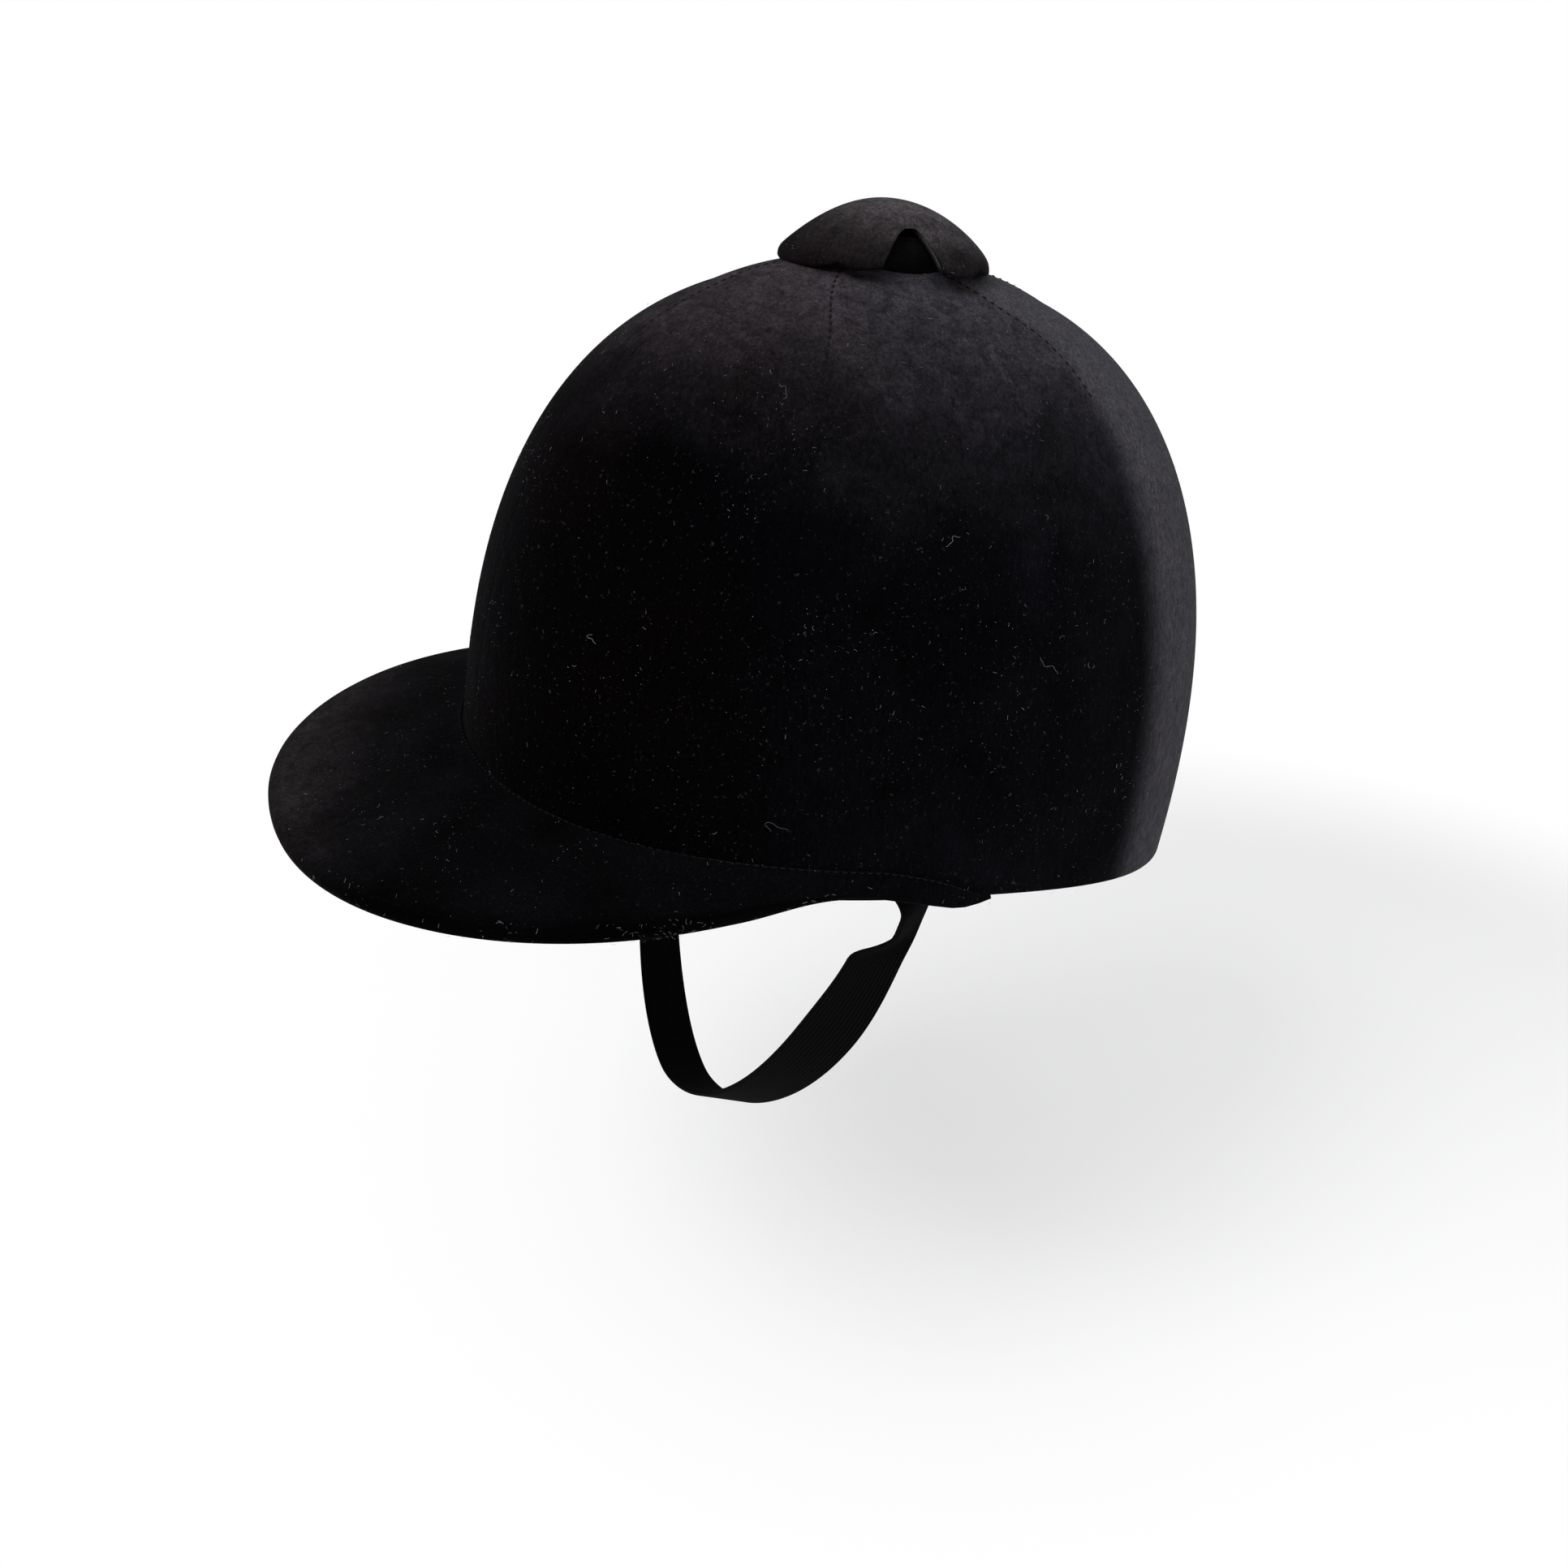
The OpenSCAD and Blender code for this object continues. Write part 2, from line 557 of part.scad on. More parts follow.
module strap_eyelets() color(metal) at_rivets() for (side = [-1, 1])
    translate([side * strap_mid, 0, 0]) rotate([0, side * 90, 0]) rotate_extrude() difference() {
        union() {
            translate([0, -strap_t / 2 - flange_t]) square([eyelet_r - 0.02, strap_t + 2 * flange_t]);
            for (low = [-strap_t / 2 - flange_t, strap_t / 2])
                translate([0, low]) square([eyelet_r + 1.4, flange_t]);
        }
        translate([0, -5]) square([rivet_r + run_gap, 10]);
    }
head_gap = 0.3;
// How much wider than its shank a rivet's head is
rivet_head = 2.3;
module strap_rivets() color(metal) for (side = [-1, 1])
    translate([0, -rivet_front, rivet_up]) rotate([0, side * 90, 0]) {
        inner = strap_mid - strap_t / 2 - flange_t - head_gap;
        outer = rivet_wall_out - rivet_head_t - rivet_sink;
        translate([0, 0, inner - rivet_head_t]) cylinder(h = rivet_head_t, r = rivet_r + rivet_head);
        translate([0, 0, inner - 0.01]) cylinder(h = outer - inner + 0.02, r = rivet_r - 0.001);
        translate([0, 0, outer]) cylinder(h = rivet_head_t, r = rivet_r + rivet_head);
    }
module strap_spacers() color("#d9d6cc") for (side = [-1, 1])
    translate([0, -rivet_front, rivet_up]) rotate([0, side * 90, 0])
    translate([0, 0, rivet_wall_in - spacer_stand - spacer_l]) difference() {
        cylinder(h = spacer_l, r = rivet_r + 2.4);
        translate([0, 0, -1]) cylinder(h = spacer_l + 2, r = rivet_r + 0.1);
    }

shell();
gore(0);  // gore_front_left
gore(1);  // gore_side_left
gore(2);  // gore_back_left
gore(3);  // gore_back_right
gore(4);  // gore_side_right
gore(5);  // gore_front_right
rim_turning();
peak_board();
peak_cover();
peak_lining();
peak_binding();
button_core();
button_cover();
button_insert();
button_screw();
button_washer();
crown_pad();
front_pad();
back_pad();
left_pad();
right_pad();
side_lining();
tip_lining();
draw_lace();
sweatband();
sweatband_bow();
chin_strap();
strap_eyelets();
strap_rivets();
strap_spacers();
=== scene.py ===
# Velvet hunt cap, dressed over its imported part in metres. The peak points to -Y and +X is the
# wearer's left. The file follows the cap as it is put together: crown, rim, peak, button, the
# padding and lining inside, and the chin strap.
import bmesh
import bpy
from math import acos, asin, copysign, cos, degrees, dist, exp, pi, radians, sin, sqrt, tan, tau
from mathutils import Matrix, Vector


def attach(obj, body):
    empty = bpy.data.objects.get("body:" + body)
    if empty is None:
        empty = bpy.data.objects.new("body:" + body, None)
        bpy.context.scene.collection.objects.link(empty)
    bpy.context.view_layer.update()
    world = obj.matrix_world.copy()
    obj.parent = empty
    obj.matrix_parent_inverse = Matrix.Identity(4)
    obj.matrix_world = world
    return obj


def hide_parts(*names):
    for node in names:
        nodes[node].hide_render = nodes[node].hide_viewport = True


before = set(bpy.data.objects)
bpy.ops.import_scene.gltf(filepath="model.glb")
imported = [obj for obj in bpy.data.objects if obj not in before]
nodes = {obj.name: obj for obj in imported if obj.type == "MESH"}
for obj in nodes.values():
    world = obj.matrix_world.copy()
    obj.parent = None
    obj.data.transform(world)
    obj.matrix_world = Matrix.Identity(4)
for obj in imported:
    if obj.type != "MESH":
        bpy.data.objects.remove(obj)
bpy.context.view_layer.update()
scene = bpy.context.scene


def add_object(name, data):
    made = bpy.data.objects.new(name, data)
    scene.collection.objects.link(made)
    return made


# The camera stands at the wearer's left front, above the rim, and leans a little to its side.
# It takes in the whole square picture.
camera_turn, camera_height, camera_lean = (radians(x) for x in (61.13, 23.87, 10.89))
camera_place = Vector((0.37479, -0.22201, 0.18197))
sensor_wide, focal_pixels, picture_pixels = 36, 1700, 1932
back = Vector((cos(camera_height) * sin(camera_turn),
               -cos(camera_height) * cos(camera_turn), sin(camera_height)))
level = Vector((cos(camera_turn), sin(camera_turn), 0))
right = cos(camera_lean) * level + sin(camera_lean) * back.cross(level)
camera_data = bpy.data.cameras.new("camera")
camera_data.sensor_width = sensor_wide
camera_data.lens = sensor_wide * focal_pixels / picture_pixels
camera = add_object("camera", camera_data)
camera.matrix_world = (Matrix.Translation(camera_place)
                       @ Matrix((right, back.cross(right), back)).transposed().to_4x4())
scene.camera = camera
scene.view_settings.view_transform = "Standard"


# Pale floor under the cap, a white room round it and three soft lamps: one in front, a broad one
# high above it, so that the cap's shade falls behind, and one behind at the wearer's left.
def empty_tree(owner):
    owner.use_nodes = True
    owner.node_tree.nodes.clear()
    return owner.node_tree


def join(tree, source, socket):
    """Links an output, or the first output of a node, to an input."""
    tree.links.new(source.outputs[0] if hasattr(source, "outputs") else source, socket)


def add_node(tree, kind, settings=None, **links):
    """Adds a shader or geometry node, sets its values and inputs, and links sources to it."""
    made = tree.nodes.new(kind)
    for name, value in (settings or {}).items():
        if isinstance(name, int) or name in made.inputs:
            made.inputs[name].default_value = value
        else:
            setattr(made, name, value)
    for name, source in links.items():
        place = int(name[1:]) if name[1:].isdigit() else name.replace("_", " ").title()
        join(tree, source, made.inputs[place])
    return made


def add_step(tree, source, start, end):
    """Smooth step from 0 at the start to 1 at the end."""
    return add_node(tree, "ShaderNodeMapRange", {
        "interpolation_type": "SMOOTHSTEP", "From Min": start, "From Max": end}, value=source)


floor_height, floor_half = -0.30, 30
floor_lift = 0.115
white = (1, 1, 1, 1)
floor_mesh = bpy.data.meshes.new("floor")
floor_mesh.from_pydata([(x * floor_half, y * floor_half, floor_height)
                        for x, y in ((-1, -1), (1, -1), (1, 1), (-1, 1))], [], [(0, 1, 2, 3)])
floor = add_object("floor", floor_mesh)
floor_paint = bpy.data.materials.new("floor_paint")
tree = empty_tree(floor_paint)
seen = add_node(tree, "ShaderNodeLightPath").outputs["Is Camera Ray"]
lit = add_node(tree, "ShaderNodeBsdfDiffuse", {"Color": (0.88, 0.88, 0.885, 1)})
lift = add_node(tree, "ShaderNodeMath", {"operation": "MULTIPLY", 1: floor_lift}, _0=seen)
glow = add_node(tree, "ShaderNodeEmission", {"Color": white}, strength=lift)
near = add_node(tree, "ShaderNodeAddShader", _0=lit, _1=glow)
floor_place = add_node(tree, "ShaderNodeTexCoord").outputs["Object"]
oval = add_node(tree, "ShaderNodeVectorMath", {"operation": "MULTIPLY", 1: (1, 0.7, 0)},
                _0=floor_place)
away = add_node(tree, "ShaderNodeVectorMath", {"operation": "DISTANCE", 1: (-0.20, 0.36, 0)},
                _0=oval)
far = add_step(tree, away.outputs["Value"], 0.22, 0.52)
far_seen = add_node(tree, "ShaderNodeMath", {"operation": "MULTIPLY"}, _0=far, _1=seen)
blank = add_node(tree, "ShaderNodeEmission", {"Color": white})
paint = add_node(tree, "ShaderNodeMixShader", _0=far_seen, _1=near, _2=blank)
add_node(tree, "ShaderNodeOutputMaterial", surface=paint)
floor_mesh.materials.append(floor_paint)

room = bpy.data.worlds.new("room")
scene.world = room
tree = empty_tree(room)
seen = add_node(tree, "ShaderNodeLightPath").outputs["Is Camera Ray"]
dim = add_node(tree, "ShaderNodeMapRange", {"To Min": 0.4, "To Max": 1.0}, value=seen)
air = add_node(tree, "ShaderNodeBackground", {"Color": white}, strength=dim)
add_node(tree, "ShaderNodeOutputWorld", surface=air)

for name, place, size, watts in (("lamp_front", (0.52, -1.12, 0.98), 0.55, 12),
                                 ("lamp_high", (0.35, -0.7, 1.6), 2.2, 17),
                                 ("lamp_back", (1.1, 1.2, 0.8), 2.0, 12)):
    lamp_data = bpy.data.lights.new(name, "AREA")
    lamp_data.shape = "DISK"
    lamp_data.size = size
    lamp_data.energy = watts
    lamp = add_object(name, lamp_data)
    lamp.matrix_world = (Matrix.Translation(place)
                         @ (-Vector(place)).to_track_quat("-Z", "Y").to_matrix().to_4x4())

# Crown: six gores of black cotton velvet, sewn edge to edge from the rim to the button and drawn
# tight over the shell. Each gore's edges roll down into the seam, and its hem turns under the rim.
crown_length, crown_width, crown_height = 0.245, 0.1975, 0.160
crown_round, side_round, plan_round = 2.54, 2.2, 2.12
widest_front, top_front, lean_front = 0.004, 0.016, 0.0019
top_tip = radians(5.8)
top_rise, rise_reach = 0.003, 0.42
ear_arch, nape_drop = 0.006, 0.0075
velvet_thick = 0.0012
gore_top = 0.905


def sin_of(angle):
    return sin(radians(angle))


def cos_of(angle):
    return cos(radians(angle))


def within(value, low=0, high=1):
    return min(max(value, low), high)


def rolled(depth, inward, wide, power=2):
    """How far an edge rolls down, at a place this far in from it."""
    return depth * max(1 - inward / wide, 0) ** power


def ridge(height, away, wide):
    """How high a soft ridge stands, at a place this far away from its middle."""
    return height * exp(-(away / wide) ** 2)


def signed_power(value, power):
    return copysign(abs(value) ** power, value)


def wall_share(share, roundness):
    return max(1 - share ** roundness, 0) ** (1 / roundness)


def climb(step):
    return max(1 - cos(pi / 2 * step) ** crown_round, 0) ** (1 / crown_round)


def rim_height(angle):
    return ear_arch * sin_of(angle) ** 4 - nape_drop * max(-cos_of(angle), 0) ** 1.5


def crown_skin(angle, share, depth):
    """Point under the crown's skin: the angle is 0 at the front and grows to the wearer's left."""
    turn = radians(angle)
    side, long = wall_share(share, side_round), wall_share(share, crown_round)
    y = -signed_power(cos(turn), 2 / plan_round) * (crown_length / 2 - depth) * long
    return Vector((
        signed_power(sin(turn), 2 / plan_round) * (crown_width / 2 - depth) * side,
        y - widest_front * sin(turn) ** 2 * long - lean_front * sin(pi * share)
        - top_front * share ** 3,
        share * (crown_height - depth) + rim_height(angle) * (1 - share) ** 2
        + tan(top_tip) * y * share ** 2 + top_rise * max(1 - (long / rise_reach) ** 2, 0)))


def share_at(angle, height):
    return (height - rim_height(angle)) / (crown_height - 2 * rim_height(angle))


def make_piece(name, points, faces, finish, cloth=None):
    """Smooth closed mesh, its faces pointing out. cloth gives each point's place on the flat."""
    mesh = bpy.data.meshes.new(name)
    mesh.from_pydata(points, [], faces)
    if cloth:
        mesh.attributes.new("cloth", "FLOAT_VECTOR", "POINT").data.foreach_set(
            "vector", [value for place in cloth for value in place])
    work = bmesh.new()
    work.from_mesh(mesh)
    bmesh.ops.remove_doubles(work, verts=work.verts, dist=1e-7)
    bmesh.ops.recalc_face_normals(work, faces=work.faces)
    work.to_mesh(mesh)
    work.free()
    mesh.shade_smooth()
    mesh.materials.append(finish)
    return add_object(name, mesh)


def make_sheet(name, outer, inner, finish, round_about=False, cloth=None):
    """Closed sheet between two grids of points. A sheet that goes round about joins its columns."""
    rows, columns = len(outer), len(outer[0])
    count = rows * columns
    points = [p for row in outer for p in row] + [p for row in inner for p in row]
    faces = []
    for i in range(rows - 1):
        for j in range(columns if round_about else columns - 1):
            a, b = i * columns + j, i * columns + (j + 1) % columns
            quad = (a, b, b + columns, a + columns)
            faces += [quad, tuple(count + v for v in reversed(quad))]
    border = [[i * columns + j for j in range(columns)] for i in (0, rows - 1)]
    if round_about:
        border = [line + line[:1] for line in border]
    else:
        border += [[i * columns + j for i in range(rows)] for j in (0, columns - 1)]
    faces += [(a, b, count + b, count + a) for line in border for a, b in zip(line, line[1:])]
    return make_piece(name, points, faces, finish, cloth * 2 if cloth else None)


def make_tube(name, rings, finish, closed=False, cloth=None):
    """Closed tube through rings of points. A closed tube joins its last ring to its first."""
    around = len(rings[0])
    faces = []
    for i in range(len(rings) if closed else len(rings) - 1):
        a, b = i * around, (i + 1) % len(rings) * around
        faces += [(a + j, a + (j + 1) % around, b + (j + 1) % around, b + j) for j in range(around)]
    if not closed:
        last = len(rings) * around - 1
        faces += [tuple(range(around)), tuple(range(last, last - around, -1))]
    return make_piece(name, [p for ring in rings for p in ring], faces, finish, cloth)


def place_piece(piece, body, slot, *hidden):
    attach(piece, body)
    if hidden:
        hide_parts(*hidden)


class Finish:
    """A material that is worked up from noises, ramps and mixes over the object's coordinates."""

    def __init__(self, name, roughness, **fixed):
        """Makes the shader, and sets on it the values that never vary."""
        self.material = bpy.data.materials.new(name)
        self.tree = empty_tree(self.material)
        self.shader = self.add("ShaderNodeBsdfPrincipled", {"Roughness": roughness})
        for key, value in fixed.items():
            self.shader.inputs[key.replace("_", " ").replace("Ior", "IOR")].default_value = value
        self.add("ShaderNodeOutputMaterial", surface=self.shader)
        self.place = self.add("ShaderNodeTexCoord").outputs["Object"]

    def add(self, kind, settings=None, **links):
        return add_node(self.tree, kind, settings, **links)

    def noise(self, scale, detail=2.0, bend=0.0, place=None):
        return self.add("ShaderNodeTexNoise", {
            "Scale": scale, "Detail": detail, "Distortion": bend}, vector=place or self.place)

    def cloth(self):
        """Each point's place on the flat cloth."""
        return self.add("ShaderNodeAttribute", {"attribute_name": "cloth"}).outputs["Vector"]

    def ramp(self, source, *stops):
        """Turns a source into the colours or shares that stand at its stops."""
        ramp = self.add("ShaderNodeValToRGB", fac=source)
        points = ramp.color_ramp.elements
        while len(points) < len(stops):
            points.new(0.5)
        for point, (at, colour) in zip(points, stops):
            point.position = at
            point.color = (*(colour if hasattr(colour, "__len__") else [colour] * 3), 1)
        return ramp

    def mix(self, kind, share, first, second):
        """Mixes two colours. The share is a number or a source."""
        mix = self.add("ShaderNodeMix", {"data_type": "RGBA", "blend_type": kind})
        if isinstance(share, float):
            mix.inputs[0].default_value = share
        else:
            join(self.tree, share, mix.inputs[0])
        join(self.tree, first, mix.inputs[6])
        join(self.tree, second, mix.inputs[7])
        return mix.outputs[2]

    def feed(self, socket, source):
        join(self.tree, source, self.shader.inputs[socket])

    def bump(self, *layers):
        """Stacks bumps, each a height and how far it stands, and ends them in the normal."""
        last = None
        for height, distance in layers:
            bump = self.add("ShaderNodeBump", {"Strength": 1.0, "Distance": distance},
                            height=height)
            if last:
                join(self.tree, last, bump.inputs["Normal"])
            last = bump
        self.feed("Normal", last)


def scaled(colour, share):
    return [c * share for c in colour]


def velvet_finish(name, deep, worn, painted_sheen_colour, way, start, end, front=None, nape=None, shade=()):
    """Short black pile in brushed patches. Painted sheen and light make it paler along a way, from
    start to end. On the gores the front is darker with painted shade and a purple-brown tone, and
    the nape is paler with painted sheen, where its pile lies the other way. The shade is painted
    shade across the cloth, at the peak's root and under its bound edge."""
    velvet = Finish(name, 0.95, Specular_Ior_Level=0.015, Sheen_Weight=0.016, Sheen_Roughness=0.35,
                    Sheen_Tint=(0.82, 0.80, 0.90, 1))
    brushed, mottle = velvet.noise(30, 4, 0.6), velvet.noise(210, 4, 0.8)
    tufts, specks = velvet.noise(1900, 2), velvet.noise(950, 3)
    laid = velvet.add("ShaderNodeMapping", {
        "Rotation": (0.6, 0.5, 0.2), "Scale": (1100, 1100, 280)}, vector=velvet.place)
    nap = velvet.noise(1.0, 3, 0.4, laid)
    # Painted sheen and light: the colour grows paler along the way, from start to end, in mottled
    # patches.
    far = velvet.add("ShaderNodeVectorMath", {"operation": "DOT_PRODUCT", 1: way}, _0=velvet.place)
    shift = velvet.add("ShaderNodeMapRange", {"To Min": -0.27, "To Max": 0.27}, value=brushed)
    sheen_along_way = velvet.add("ShaderNodeMapRange", {"From Min": start, "From Max": end, "clamp": False},
                       value=far.outputs["Value"])
    painted_sheen_mask = velvet.add("ShaderNodeMath", {"operation": "ADD", "use_clamp": True}, _0=sheen_along_way, _1=shift)
    painted_sheen_mask = velvet.ramp(painted_sheen_mask, (0.0, 0.0), (0.4, 0.14), (0.75, 0.6), (1.0, 1.0))
    colour = velvet.ramp(brushed, (0.30, deep), (0.75, worn))
    painted_sheen_tone = velvet.ramp(mottle, (0.3, scaled(painted_sheen_colour, 0.45)), (0.7, scaled(painted_sheen_colour, 1.05)))
    if front or shade:
        turned = velvet.add("ShaderNodeSeparateXYZ", vector=velvet.cloth())
    # Painted shade at the gores' front: the painted sheen starts later there, the colour is darker
    # with a purple-brown tone, and the painted sheen is warmer.
    if front:
        behind = velvet.add("ShaderNodeMath", {"operation": "SUBTRACT", 1: 0.5}, _0=turned)
        behind = velvet.add("ShaderNodeMath", {"operation": "ABSOLUTE"}, _0=behind)
        before = add_step(velvet.tree, behind, 0.22, 0.40)
        later = velvet.add("ShaderNodeMath", {"operation": "MULTIPLY_ADD", 1: 0.009, 2: start},
                           _0=before)
        join(velvet.tree, later, sheen_along_way.inputs["From Min"])
        front_shade = velvet.ramp(velvet.noise(16), (0.42, (0.0004, 0.0004, 0.0008)), (0.60, front))
        colour = velvet.mix("MIX", before, colour, front_shade)
        front_sheen_warmth = velvet.ramp(brushed, (0.0, (1.0, 0.90, 0.86)), (1.0, (1.0, 0.92, 0.90)))
        painted_sheen_tone = velvet.mix("MULTIPLY", before, painted_sheen_tone, front_sheen_warmth)
    colour = velvet.mix("MIX", painted_sheen_mask, colour, painted_sheen_tone)
    # Painted sheen at the nape, where the pile lies the other way: a paler colour in mottled
    # patches.
    if nape:
        at_nape = add_step(velvet.tree, behind, 0.180, 0.150)
        raised = velvet.ramp(mottle, (0.3, scaled(nape, 0.7)), (0.7, nape))
        colour = velvet.mix("MIX", at_nape, colour, raised)
    colour = velvet.mix("MULTIPLY", 0.7, colour, velvet.ramp(nap, (0.32, 0.25), (0.68, 1.0)))
    colour = velvet.mix("MULTIPLY", 0.6, colour, velvet.ramp(tufts, (0.3, 0.25), (0.7, 1.0)))
    pale = [c * 0.5 + 0.014 for c in painted_sheen_colour]
    colour = velvet.mix("MIX", velvet.ramp(specks, (0.64, 0.0), (0.80, 0.45)), colour,
                        velvet.ramp(nap, (0.4, scaled(pale, 0.4)), (0.6, pale)))
    # Painted shade across the cloth, at the peak's root and under its bound edge.
    if shade:
        colour = velvet.mix("MULTIPLY", 1.0, colour, velvet.ramp(turned, *shade))
    velvet.feed("Base Color", colour)
    velvet.feed("Roughness", velvet.ramp(brushed, (0.3, 1.0), (0.75, 0.85)))
    velvet.bump((brushed, 0.0004), (mottle, 0.0004), (nap, 0.00015), (tufts, 0.0002))
    return velvet.material


# Crown velvet: painted sheen and light make it paler towards the top, painted shade darkens the
# front gores, and painted sheen lightens the nape.
crown_velvet = velvet_finish("crown_velvet", (0.0012, 0.0011, 0.0017), (0.0042, 0.0038, 0.0058),
                             (0.080, 0.074, 0.088), (0, 0, 1), 0.099, 0.164,
                             front=(0.0011, 0.0005, 0.0008), nape=(0.085, 0.081, 0.093))
gore_turn, gore_steps, gore_columns = 60, 84, 30
mean_radius = 0.110
# How far in from a seam each column of a gore stands, and by how much the hem turns under
seam_columns = (0.00002, 0.0003, 0.0006, 0.001, 0.0016, 0.0024, 0.0034, 0.005)
hem_turns = (84, 64, 44, 22)


def seam_depth(inward, share):
    """The pile closes over the seam, and dips a little into it near the button."""
    open_seam = within((share - 0.78) / 0.12, 0.16, 0.4)
    return open_seam * (rolled(0.0004, inward, 0.0011) - ridge(0.0001, inward - 0.0032, 0.0014))


def seam_twist(share):
    """The seams turn a little towards the wearer's front left as they run in under the button."""
    return 13 * max((share - 0.87) / 0.13, 0) ** 3


def gore_grids(first):
    """Outer and inner grid of the gore that starts at this angle, and its points' places."""
    rows = [(turn, 0.0) for turn in hem_turns]
    rows += [(0, step * gore_top / gore_steps) for step in range(gore_steps + 1)]
    outer, inner, cloth = [], [], []
    for turn, step in rows:
        share = climb(step)
        radius = mean_radius * wall_share(share, crown_round)
        edge = [degrees(x / radius) for x in seam_columns]
        middle = [edge[-1] + (gore_turn - 2 * edge[-1]) * k / gore_columns
                  for k in range(1, gore_columns)]
        fold, drop = velvet_thick * (1 - cos_of(turn)), velvet_thick * sin_of(turn)
        outer.append([])
        inner.append([])
        for angle in edge + middle + [gore_turn - x for x in reversed(edge)]:
            inward = radians(min(angle, gore_turn - angle)) * radius
            depth = seam_depth(inward, share)
            cloth.append(((first + angle) / 360, share, 0))
            for grid, deep, low in ((outer, fold + depth, drop),
                                    (inner, max(velvet_thick, fold + 0.0002), min(drop, 0.0001))):
                point = crown_skin(first + angle - seam_twist(share), share, deep)
                point.z -= low
                grid[-1].append(point)
    return outer, inner, cloth


gores = []
for name, first, wide, area in (
        ("gore_front_left", 0, 0.109, 0.0161), ("gore_side_left", 60, 0.131, 0.0201),
        ("gore_back_left", 120, 0.116, 0.0189), ("gore_back_right", 180, 0.116, 0.0189),
        ("gore_side_right", 240, 0.131, 0.0201), ("gore_front_right", 300, 0.109, 0.0161)):
    outer, inner, cloth = gore_grids(first)
    gore = make_sheet("velvet_" + name, outer, inner, crown_velvet, cloth=cloth)
    place_piece(gore, "cap", "velvet", name)
    gores.append(gore)


# Seams of the crown: black cotton thread, one small stitch after another down in each seam.
# The same rule sews the peak, its binding and the sweatband.
def start_rule(name, *inputs):
    """New geometry tree with named inputs, and its output."""
    rule = bpy.data.node_groups.new(name, "GeometryNodeTree")
    for label, kind in inputs:
        rule.interface.new_socket(label, in_out="INPUT", socket_type="NodeSocket" + kind)
    rule.interface.new_socket("Made", in_out="OUTPUT", socket_type="NodeSocketGeometry")
    return rule, add_node(rule, "NodeGroupInput").outputs


def end_rule(rule, instances, finish):
    """Ends a tree: its copies become real faces, and take their material."""
    real = add_node(rule, "GeometryNodeRealizeInstances", geometry=instances)
    dressed = add_node(rule, "GeometryNodeSetMaterial", geometry=real, material=finish)
    join(rule, dressed, rule.nodes.new("NodeGroupOutput").inputs[0])


def grow_piece(name, rule, source, **settings):
    """Runs a tree over a mesh and keeps the result as a plain mesh."""
    holder = add_object(name + "_source", source)
    modifier = holder.modifiers.new("rule", "NODES")
    modifier.node_group = rule
    for item in rule.interface.items_tree:
        if item.name.lower() in settings:
            modifier[item.identifier] = settings[item.name.lower()]
    holder.update_tag()
    ready = holder.evaluated_get(bpy.context.evaluated_depsgraph_get())
    mesh = bpy.data.meshes.new_from_object(ready)
    bpy.data.objects.remove(holder)
    mesh.name = name
    mesh.shade_smooth()
    return add_object(name, mesh)


def path_mesh(name, *lines):
    """Mesh of plain edges along lines of points."""
    points, edges = [], []
    for line in lines:
        edges += [(len(points) + i, len(points) + i + 1) for i in range(len(line) - 1)]
        points += line
    mesh = bpy.data.meshes.new(name)
    mesh.from_pydata(points, edges, [])
    return mesh


stitches, given = start_rule("stitches_along_a_seam", ("Seam", "Geometry"), ("Step", "Float"),
                             ("Length", "Float"), ("Thickness", "Float"), ("Thread", "Material"))
line = add_node(stitches, "GeometryNodeMeshToCurve", mesh=given["Seam"])
steps = add_node(stitches, "GeometryNodeResampleCurve", {"mode": "LENGTH"}, curve=line,
                 length=given["Step"])
along = add_node(stitches, "GeometryNodeInputTangent")
turned = add_node(stitches, "FunctionNodeAlignRotationToVector", {"axis": "Z"}, vector=along)
shape = add_node(stitches, "ShaderNodeCombineXYZ", _0=given["Thickness"], _1=given["Thickness"],
                 _2=given["Length"])
bead = add_node(stitches, "GeometryNodeMeshUVSphere", {"Segments": 8, "Rings": 6, "Radius": 0.5})
sewn = add_node(stitches, "GeometryNodeInstanceOnPoints", points=steps, instance=bead,
                rotation=turned, scale=shape)
end_rule(stitches, sewn, given["Thread"])


def thread_finish(name, colour):
    """Twisted cotton thread with a dull shine."""
    thread = Finish(name, 0.75, Specular_Ior_Level=0.12)
    twist = thread.add("ShaderNodeTexWave", {"Scale": 900, "Distortion": 2.0},
                       vector=thread.place).outputs[1]
    thread.feed("Base Color", thread.ramp(twist, (0.2, scaled(colour, 0.55)), (0.8, colour)))
    thread.bump((twist, 0.00008))
    return thread.material


black_thread = thread_finish("black_thread", (0.003, 0.003, 0.0035))


def sew(name, slot, step, length, thickness, *seams, thread=black_thread):
    """Sews stitches along seams, each a line of points, and fixes them to the cap."""
    place_piece(grow_piece(name, stitches, path_mesh(name + "_path", *seams), step=step,
                           length=length, thickness=thickness, thread=thread), "cap", slot)


seam_shares = [climb(0.54 + (gore_top - 0.548) * i / 60) for i in range(61)]
sew("crown_stitches", "velvet", 0.0027, 0.0015, 0.00075, *(
    [crown_skin(gore_turn * n - seam_twist(share), share, 0.0001) for share in seam_shares]
    for n in range(6)))

# Rim: the gores' velvet goes on round the shell's edge and is glued up inside it. Its pile is
# pressed flat where the strap passes.
turned_in, turned_up, turned_low = 0.00475, 0.005, -0.00132


